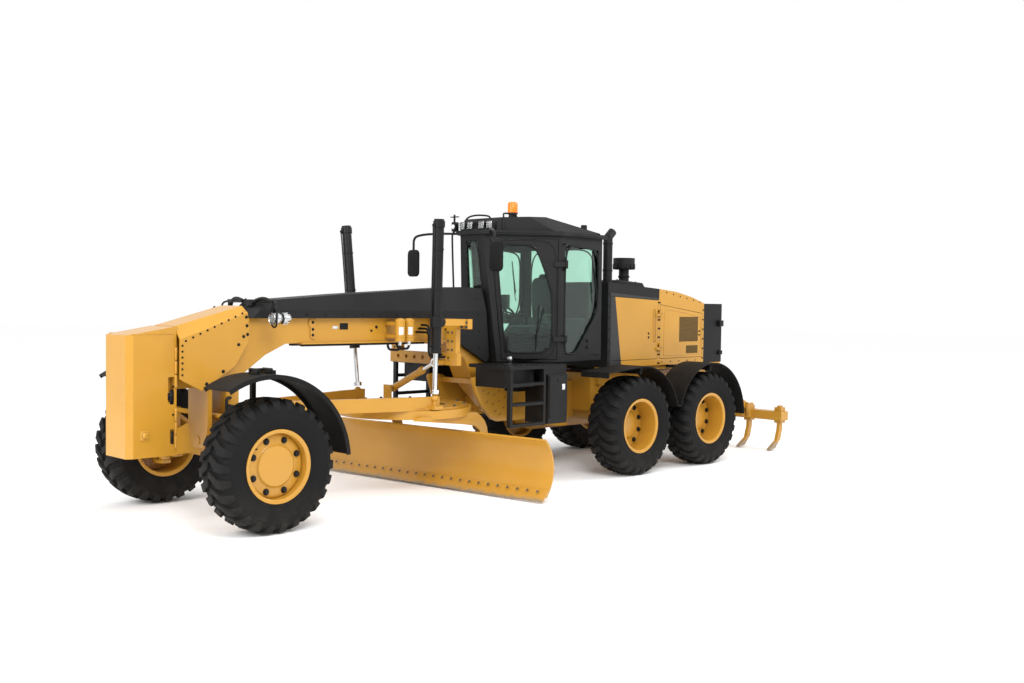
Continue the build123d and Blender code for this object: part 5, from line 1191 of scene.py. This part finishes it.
mesh = startMesh()
for step in range(bellows["folds"]):
    z = bellows["foot"] + step * bellows["pitch"]
    size = bellows["half"] - bellows["nip"] * (step % 2)
    addBox(mesh, (bellows["x"] - size, 0.02 - size, z),
           (bellows["x"] + size, size - 0.02, z + bellows["fold"]), 0.012)
addBox(mesh, *bellows["pan"], 0.010)
finishPiece(mesh, "seatBellows", "front_body", "fenderPlastic", 35, ["operator_station"])

armRest = {
    "back": -0.775, "front": -0.50, "inner": 0.275, "outer": 0.345, "low": 1.975, "high": 2.035,
    "crown": 0.15, "console": ((-0.52, 0.272, 1.90), (-0.385, 0.348, 2.02)),
    "support": ((-0.76, 0.29, 1.88), (-0.50, 0.33, 1.975)),
    "lever": ((0.0, 0.0), (0.012, 0.0), (0.011, 0.045), (0.018, 0.06), (0.022, 0.09), (0.018, 0.118),
              (0.0, 0.125)),
    "leverAt": (-0.43, 0.31, 2.02),
    "boot": ((0.0, 0.0), (0.030, 0.0), (0.024, 0.012), (0.013, 0.02), (0.0, 0.02)),
    "bootAt": (-0.43, 0.31, 2.018),
}
for side, hand in hands:
    near, far = sorted((side * armRest["inner"], side * armRest["outer"]))
    padPiece("armRest" + hand, (armRest["back"], near, armRest["low"]),
             (armRest["front"], far, armRest["high"]), armRest["crown"])
    mesh = startMesh()
    addBox(mesh, *mirrored(armRest["console"], side), 0.014)
    addBox(mesh, *mirrored(armRest["support"], side), 0.010)
    addTurned(mesh, armRest["lever"], *mirrored([armRest["leverAt"]], side), (0.1, 0, 1), 20)
    addTurned(mesh, armRest["boot"], *mirrored([armRest["bootAt"]], side), upward, 20)
    finishPiece(mesh, "leverConsole" + hand, "front_body", "greyPlastic")

steering = {
    "column": ((0.05, 1.492), (0.20, 1.492), (0.235, 1.80), (0.15, 2.04), (0.06, 2.0)), "columnHalf": 0.085,
    "head": ((0.02, -0.10, 1.98), (0.16, 0.10, 2.05)),
    "pedal": ((-0.01, 1.492), (0.05, 1.492), (0.03, 1.53), (-0.02, 1.51)), "pedalFrom": -0.18,
    "pedalTo": -0.06,
    "wheelAt": (-0.02, 0, 2.08), "wheelTip": -32, "wheelRadius": 0.185, "rimRadius": 0.0135, "rimSides": 10,
    "hub": ((0.0, 0.012), (0.045, 0.008), (0.055, -0.01), (0.03, -0.05), (0.0, -0.06)),
    "spokes": 3, "spoke": ((0.03, -0.016, -0.008), (0.182, 0.016, 0.004)),
}
mesh = startMesh()
addPlate(mesh, "xz", steering["column"], -steering["columnHalf"], steering["columnHalf"], 0.012)
addBox(mesh, *steering["head"], 0.014)
addPlate(mesh, "xz", steering["pedal"], steering["pedalFrom"], steering["pedalTo"], 0.004)
finishPiece(mesh, "steeringConsole", "front_body", "greyPlastic")
mesh = startMesh()
ring = []
for step in range(steering["rimSides"] + 1):
    angle = math.tau * step / steering["rimSides"]
    ring.append((steering["wheelRadius"] + steering["rimRadius"] * math.cos(angle),
                 steering["rimRadius"] * math.sin(angle)))
addTurned(mesh, ring, (0, 0, 0), upward, 48)
addTurned(mesh, steering["hub"], (0, 0, 0), upward, 24)
for index in range(steering["spokes"]):
    addBox(mesh, *steering["spoke"], 0.004, turned(360 * index / steering["spokes"], "Z"))
wheelPlace = Matrix.Translation(steering["wheelAt"]) @ turned(steering["wheelTip"], "Y")
bmesh.ops.transform(mesh, matrix=wheelPlace, verts=mesh.verts)
finishPiece(mesh, "steeringWheel", "front_body", "hoseRubber")

cabInside = {
    # opposite corners, rounding: screen, its stalk, cabinet behind the seat
    "boxes": (((0.145, 0.145, 2.10), (0.185, 0.335, 2.27), 0.010),
              ((0.155, 0.225, 1.92), (0.175, 0.255, 2.11), 0.004),
              ((-1.09, -0.50, 1.50), (-1.02, 0.50, 1.98), 0.02)),
    "mat": ((-1.0, -0.62, 1.490), (0.20, 0.62, 1.497)), "ribs": 16, "firstRib": -0.56, "ribPitch": 0.0747,
    "rib": ((-0.95, 0.0, 1.497), (0.02, 0.018, 1.502)),
}
mesh = startMesh()
for low, high, round in cabInside["boxes"]:
    addBox(mesh, low, high, round)
finishPiece(mesh, "cabScreens", "front_body", "greyPlastic")
mesh = startMesh()
addBox(mesh, *cabInside["mat"], 0.002)
for index in range(cabInside["ribs"]):
    y = cabInside["firstRib"] + index * cabInside["ribPitch"]
    (x0, y0, z0), (x1, y1, z1) = cabInside["rib"]
    addBox(mesh, (x0, y + y0, z0), (x1, y + y1, z1), 0.002)
finishPiece(mesh, "floorMat", "front_body", "hoseRubber")
print("cab inside built")

# steps: toothed treads, raised studs on the platform, and the side box's lid
treads = {
    # z, x of both ends
    "rows": ((0.770, 0.285, 0.815), (1.010, 0.285, 0.815), (1.240, 0.285, 0.815), (1.440, 0.26, 0.77)),
    "teeth": 14, "inner": 1.004, "outer": 1.054, "halfFoot": 0.012, "halfTip": 0.005, "tall": 0.010,
    "studRows": 5, "studs": 11, "firstStud": (0.29, 0.42), "studPitch": (0.045, 0.11), "stagger": 0.05,
    "studBox": ((-0.014, -0.003, 0.0), (0.014, 0.003, 0.003)), "platform": 1.440,
}
boxLid = {"lid": ((-0.150, 1.019, 0.80), (0.155, 1.028, 1.30)),
          "catch": ((-0.02, 1.027, 1.235), (0.02, 1.036, 1.275)),
          "bolts": ((-0.135, 0.82), (0.14, 0.82), (-0.135, 1.28), (0.14, 1.28)),
          "plate": ((-0.115, 1.0285, 1.135), (-0.065, 1.0305, 1.205))}


def addTreads(mesh, side):
    for z, x0, x1 in treads["rows"]:
        foot, tip, top = treads["halfFoot"], treads["halfTip"], z + treads["tall"]
        for index in range(treads["teeth"]):
            x = x0 + (x1 - x0) * (index + 0.5) / treads["teeth"]
            addPlate(mesh, "xz", ((x - foot, z), (x + foot, z), (x + tip, top), (x - tip, top)),
                     side * treads["inner"], side * treads["outer"], 0.0015)
    for row in range(treads["studRows"]):
        for index in range(treads["studs"]):
            odd = index % 2
            x = treads["firstStud"][0] + index * treads["studPitch"][0]
            y = treads["firstStud"][1] + row * treads["studPitch"][1] + treads["stagger"] * odd
            place = Matrix.Translation((x, side * y, treads["platform"])) @ turned(45 if odd else -45, "Z")
            addBox(mesh, *treads["studBox"], 0.001, place)


for side, hand in hands:
    mesh = startMesh()
    addTreads(mesh, side)
    finishPiece(mesh, "stepTreads" + hand, "front_body", "blackPaint", 30)
    mesh = startMesh()
    addBox(mesh, *mirrored(boxLid["lid"], side), 0.004)
    addBox(mesh, *mirrored(boxLid["catch"], side), 0.003)
    for x, z in boxLid["bolts"]:
        addBolt(mesh, (x, side * 1.028, z), (0, side, 0), 0.008, 0.006)
    finishPiece(mesh, "sideBoxLid" + hand, "front_body", "satinBlack")
    mesh = startMesh()
    addBox(mesh, *mirrored(boxLid["plate"], side), 0.001)
    finishPiece(mesh, "sideBoxPlate" + hand, "front_body", "labelWhite")
print("steps done")

# accumulators on the saddle: domed caps, seam rings, necks and blank labels
accumulator = {
    "spots": (1.80, 1.93), "y": 0.40, "capAt": 1.965, "ringAt": 1.775, "neckAt": 1.725,
    "cap": ((0.0, 0.018), (0.016, 0.018), (0.030, 0.014), (0.047, 0.006), (0.0565, -0.004), (0.0565, -0.012)),
    "ring": ((0.0565, -0.008), (0.060, -0.005), (0.060, 0.005), (0.0565, 0.008)),
    "neck": ((0.0, -0.045), (0.018, -0.045), (0.019, -0.02), (0.026, -0.018), (0.026, 0.0)),
    "labelRadius": 0.0568, "labelFrom": 38, "labelOver": 56, "labelSteps": 8, "labelLow": 1.80,
    "labelHigh": 1.885,
}
mesh = startMesh()
for x in accumulator["spots"]:
    addTurned(mesh, accumulator["cap"], (x, accumulator["y"], accumulator["capAt"]), upward, 28)
    addTurned(mesh, accumulator["ring"], (x, accumulator["y"], accumulator["ringAt"]), upward, 28)
finishPiece(mesh, "accumulatorCaps", "front_body", "yellowPaint")
mesh = startMesh()
for x in accumulator["spots"]:
    addTurned(mesh, accumulator["neck"], (x, accumulator["y"], accumulator["neckAt"]), upward, 20)
finishPiece(mesh, "accumulatorNecks", "front_body", "chromedRod")
mesh = startMesh()
for x in accumulator["spots"]:
    start = math.radians(accumulator["labelFrom"])
    edgeX = x + accumulator["labelRadius"] * math.cos(start)
    edgeY = accumulator["y"] + accumulator["labelRadius"] * math.sin(start)
    ends = [mesh.verts.new((edgeX, edgeY, accumulator[key])) for key in ("labelLow", "labelHigh")]
    bmesh.ops.spin(mesh, geom=[*ends, mesh.edges.new(ends)], cent=(x, accumulator["y"], 0), axis=(0, 0, 1),
                   angle=math.radians(accumulator["labelOver"]), steps=accumulator["labelSteps"])
finishPiece(mesh, "accumulatorLabels", "front_body", "labelWhite", 60)

saddle = {"x": 1.2605, "blocks": ((0.68, 1.89), (0.68, 1.94), (0.76, 1.89), (0.76, 1.94),
                                  (-0.85, 1.89), (-0.85, 1.94), (-0.77, 1.89), (-0.77, 1.94)),
          "columns": (-0.52, -0.45, 0.45, 0.52), "rows": (1.62, 1.72, 1.82)}
mesh = startMesh()
for y, z in saddle["blocks"]:
    addBolt(mesh, (saddle["x"], y, z), forward, 0.014, 0.012)
for y in saddle["columns"]:
    for z in saddle["rows"]:
        addBolt(mesh, (saddle["x"], y, z), forward, 0.011, 0.009)
finishPiece(mesh, "saddleBolts", "front_body", "ironGrey", 30)

# lift cylinders: rings, ports, end cap and line are placed by the distance up the barrel
lift = {
    # side, y at the saddle
    "barrels": {"left": (1, 0.72), "right": (-1, -0.81)}, "x": 1.675, "z": 1.95, "footY": 0.70, "rise": 0.85,
    "rings": (-0.30, 0.35, 0.80),
    "ring": ((0.0562, -0.010), (0.0615, -0.008), (0.0615, 0.008), (0.0562, 0.010)),
    "ports": ((-0.27, 0.055), (1.06, 0.062)),
    "port": ((0.0, 0.0), (0.020, 0.0), (0.020, 0.018), (0.013, 0.02), (0.013, 0.03), (0.0, 0.03)),
    "end": ((0.0, 0.012), (0.030, 0.010), (0.050, 0.002), (0.054, 0.0)), "endAt": 1.118,
    "line": ((-0.27, 0.085), (-0.24, 0.086), (0.2, 0.080), (0.9, 0.080), (1.03, 0.084), (1.06, 0.086)),
    "lineRadius": 0.008,
}
for hand, (side, y) in lift["barrels"].items():
    lean = Vector((0, y - side * lift["footY"], lift["rise"])).normalized()
    base = Vector((lift["x"], y, lift["z"]))
    mesh = startMesh()
    for at in lift["rings"]:
        addTurned(mesh, lift["ring"], base + lean * at, lean, 28)
    for at, ahead in lift["ports"]:
        addTurned(mesh, lift["port"], base + lean * at + Vector((ahead, 0, 0)), forward, 16)
    addTurned(mesh, lift["end"], base + lean * lift["endAt"], lean, 28)
    finishPiece(mesh, "liftRings_" + hand, "lift_barrel_" + hand, "blackPaint")
    route = [base + lean * at + Vector((ahead, 0, 0)) for at, ahead in lift["line"]]
    pipeAlong("liftLine_" + hand, route, lift["lineRadius"], "lift_barrel_" + hand, "blackPaint")

circle = {
    "x": 1.525, "teeth": 72, "tooth": ((0.652, -0.020), (0.628, -0.011), (0.626, 0.011), (0.652, 0.020)),
    "low": 0.878, "high": 0.957, "bolts": 12, "boltRing": 0.69, "boltAt": 0.9905,
}
mesh = startMesh()
for index in range(circle["teeth"]):
    place = Matrix.Translation((circle["x"], 0, 0)) @ turned(360 * index / circle["teeth"], "Z")
    addPlate(mesh, "xy", circle["tooth"], circle["low"], circle["high"], 0.002, place)
finishPiece(mesh, "circleTeeth", "circle", "ironGrey", 30)
mesh = startMesh()
for index in range(circle["bolts"]):
    angle = math.tau * (index + 0.5) / circle["bolts"]
    spot = (circle["x"] + circle["boltRing"] * math.cos(angle), circle["boltRing"] * math.sin(angle),
            circle["boltAt"])
    addBolt(mesh, spot, upward, 0.016, 0.014)
finishPiece(mesh, "drawbarBolts", "drawbar", "ironGrey", 30)
print("blade lift dressed")

# bolts of the blade's cutting edge, set out with the blade square and then turned with it
blade = {"turn": 5.7, "centre": (1.525, 0.0, 0.0), "bolts": 26, "half": 1.76, "x": -0.2735, "z": 0.1275,
         "axis": (0.707, 0, 0.707)}
mesh = startMesh()
for index in range(blade["bolts"]):
    along = -blade["half"] + 2 * blade["half"] * index / (blade["bolts"] - 1)
    addBolt(mesh, (blade["x"], along, blade["z"]), blade["axis"], 0.012, 0.006)
bladePlace = Matrix.Translation(blade["centre"]) @ turned(blade["turn"], "Z")
bmesh.ops.transform(mesh, matrix=bladePlace, verts=mesh.verts)
finishPiece(mesh, "edgeBolts", "moldboard", "ironGrey", 30)
print("blade dressed")

# camera solved from the photo: degrees and metres, the focal length in pixels of a picture this wide
camera = {"spot": (9.6646, 9.8574, 2.1620), "yaw": -135.118, "pitch": -1.989, "roll": 0.740, "focal": 1095.31,
          "width": 1024.0, "sensor": 36.0}


def setCamera():
    yaw, pitch, roll = (math.radians(camera[key]) for key in ("yaw", "pitch", "roll"))
    ahead = Vector((math.cos(yaw) * math.cos(pitch), math.sin(yaw) * math.cos(pitch), math.sin(pitch)))
    right = ahead.cross(Vector((0, 0, 1))).normalized()
    up = right.cross(ahead)
    rightRolled = math.cos(roll) * right + math.sin(roll) * up
    upRolled = -math.sin(roll) * right + math.cos(roll) * up
    turn = Matrix((rightRolled, upRolled, -ahead)).transposed().to_4x4()
    lens = bpy.data.cameras.new("studioCamera")
    lens.sensor_width = camera["sensor"]
    lens.lens = camera["focal"] / camera["width"] * lens.sensor_width
    lens.clip_end = 200
    eye = bpy.data.objects.new("studioCamera", lens)
    eye.matrix_world = Matrix.Translation(camera["spot"]) @ turn
    bpy.context.scene.collection.objects.link(eye)
    bpy.context.scene.camera = eye


setCamera()

studio = {
    "floor": 160.0, "floorTone": (0.99, 0.99, 0.99, 1), "floorDrop": 0.001, "room": (1.0, 1.0, 1.0, 1),
    # place, aims at, size, watts
    "lamps": (((5.0, 8.5, 9.0), (0.5, 0.0, 1.2), 6.0, 850), ((12.0, 1.0, 6.0), (2.0, 0.0, 1.2), 5.0, 620),
              ((-7.0, 6.0, 8.0), (-2.0, 0.0, 1.2), 5.0, 380)),
}


def setStudio():
    mesh = startMesh()
    bmesh.ops.create_grid(mesh, x_segments=24, y_segments=24, size=studio["floor"] / 2)
    data = bpy.data.meshes.new("studioFloor")
    mesh.to_mesh(data)
    mesh.free()
    ground = bpy.data.materials.new("floorMatt")
    ground.use_nodes = True
    matt = ground.node_tree.nodes["Principled BSDF"]
    matt.inputs["Base Color"].default_value = studio["floorTone"]
    matt.inputs["Roughness"].default_value = 1.0
    matt.inputs["Specular IOR Level"].default_value = 0.0
    data.materials.append(ground)
    floor = bpy.data.objects.new("studioFloor", data)
    floor.location.z = -studio["floorDrop"]
    bpy.context.scene.collection.objects.link(floor)
    for index, (spot, aim, size, watts) in enumerate(studio["lamps"]):
        light = bpy.data.lights.new(f"softLamp{index}", "AREA")
        light.size = size
        light.energy = watts
        lamp = bpy.data.objects.new(f"softLamp{index}", light)
        lamp.location = spot
        lamp.rotation_euler = (Vector(aim) - Vector(spot)).to_track_quat("-Z", "Y").to_euler()
        bpy.context.scene.collection.objects.link(lamp)
    world = bpy.data.worlds.new("paleRoom")
    world.use_nodes = True
    world.node_tree.nodes["Background"].inputs["Color"].default_value = studio["room"]
    world.node_tree.nodes["Background"].inputs["Strength"].default_value = 1.0
    bpy.context.scene.world = world
    bpy.context.scene.view_settings.view_transform = "Standard"


setStudio()
print("studio lit")

bpy.context.view_layer.update()
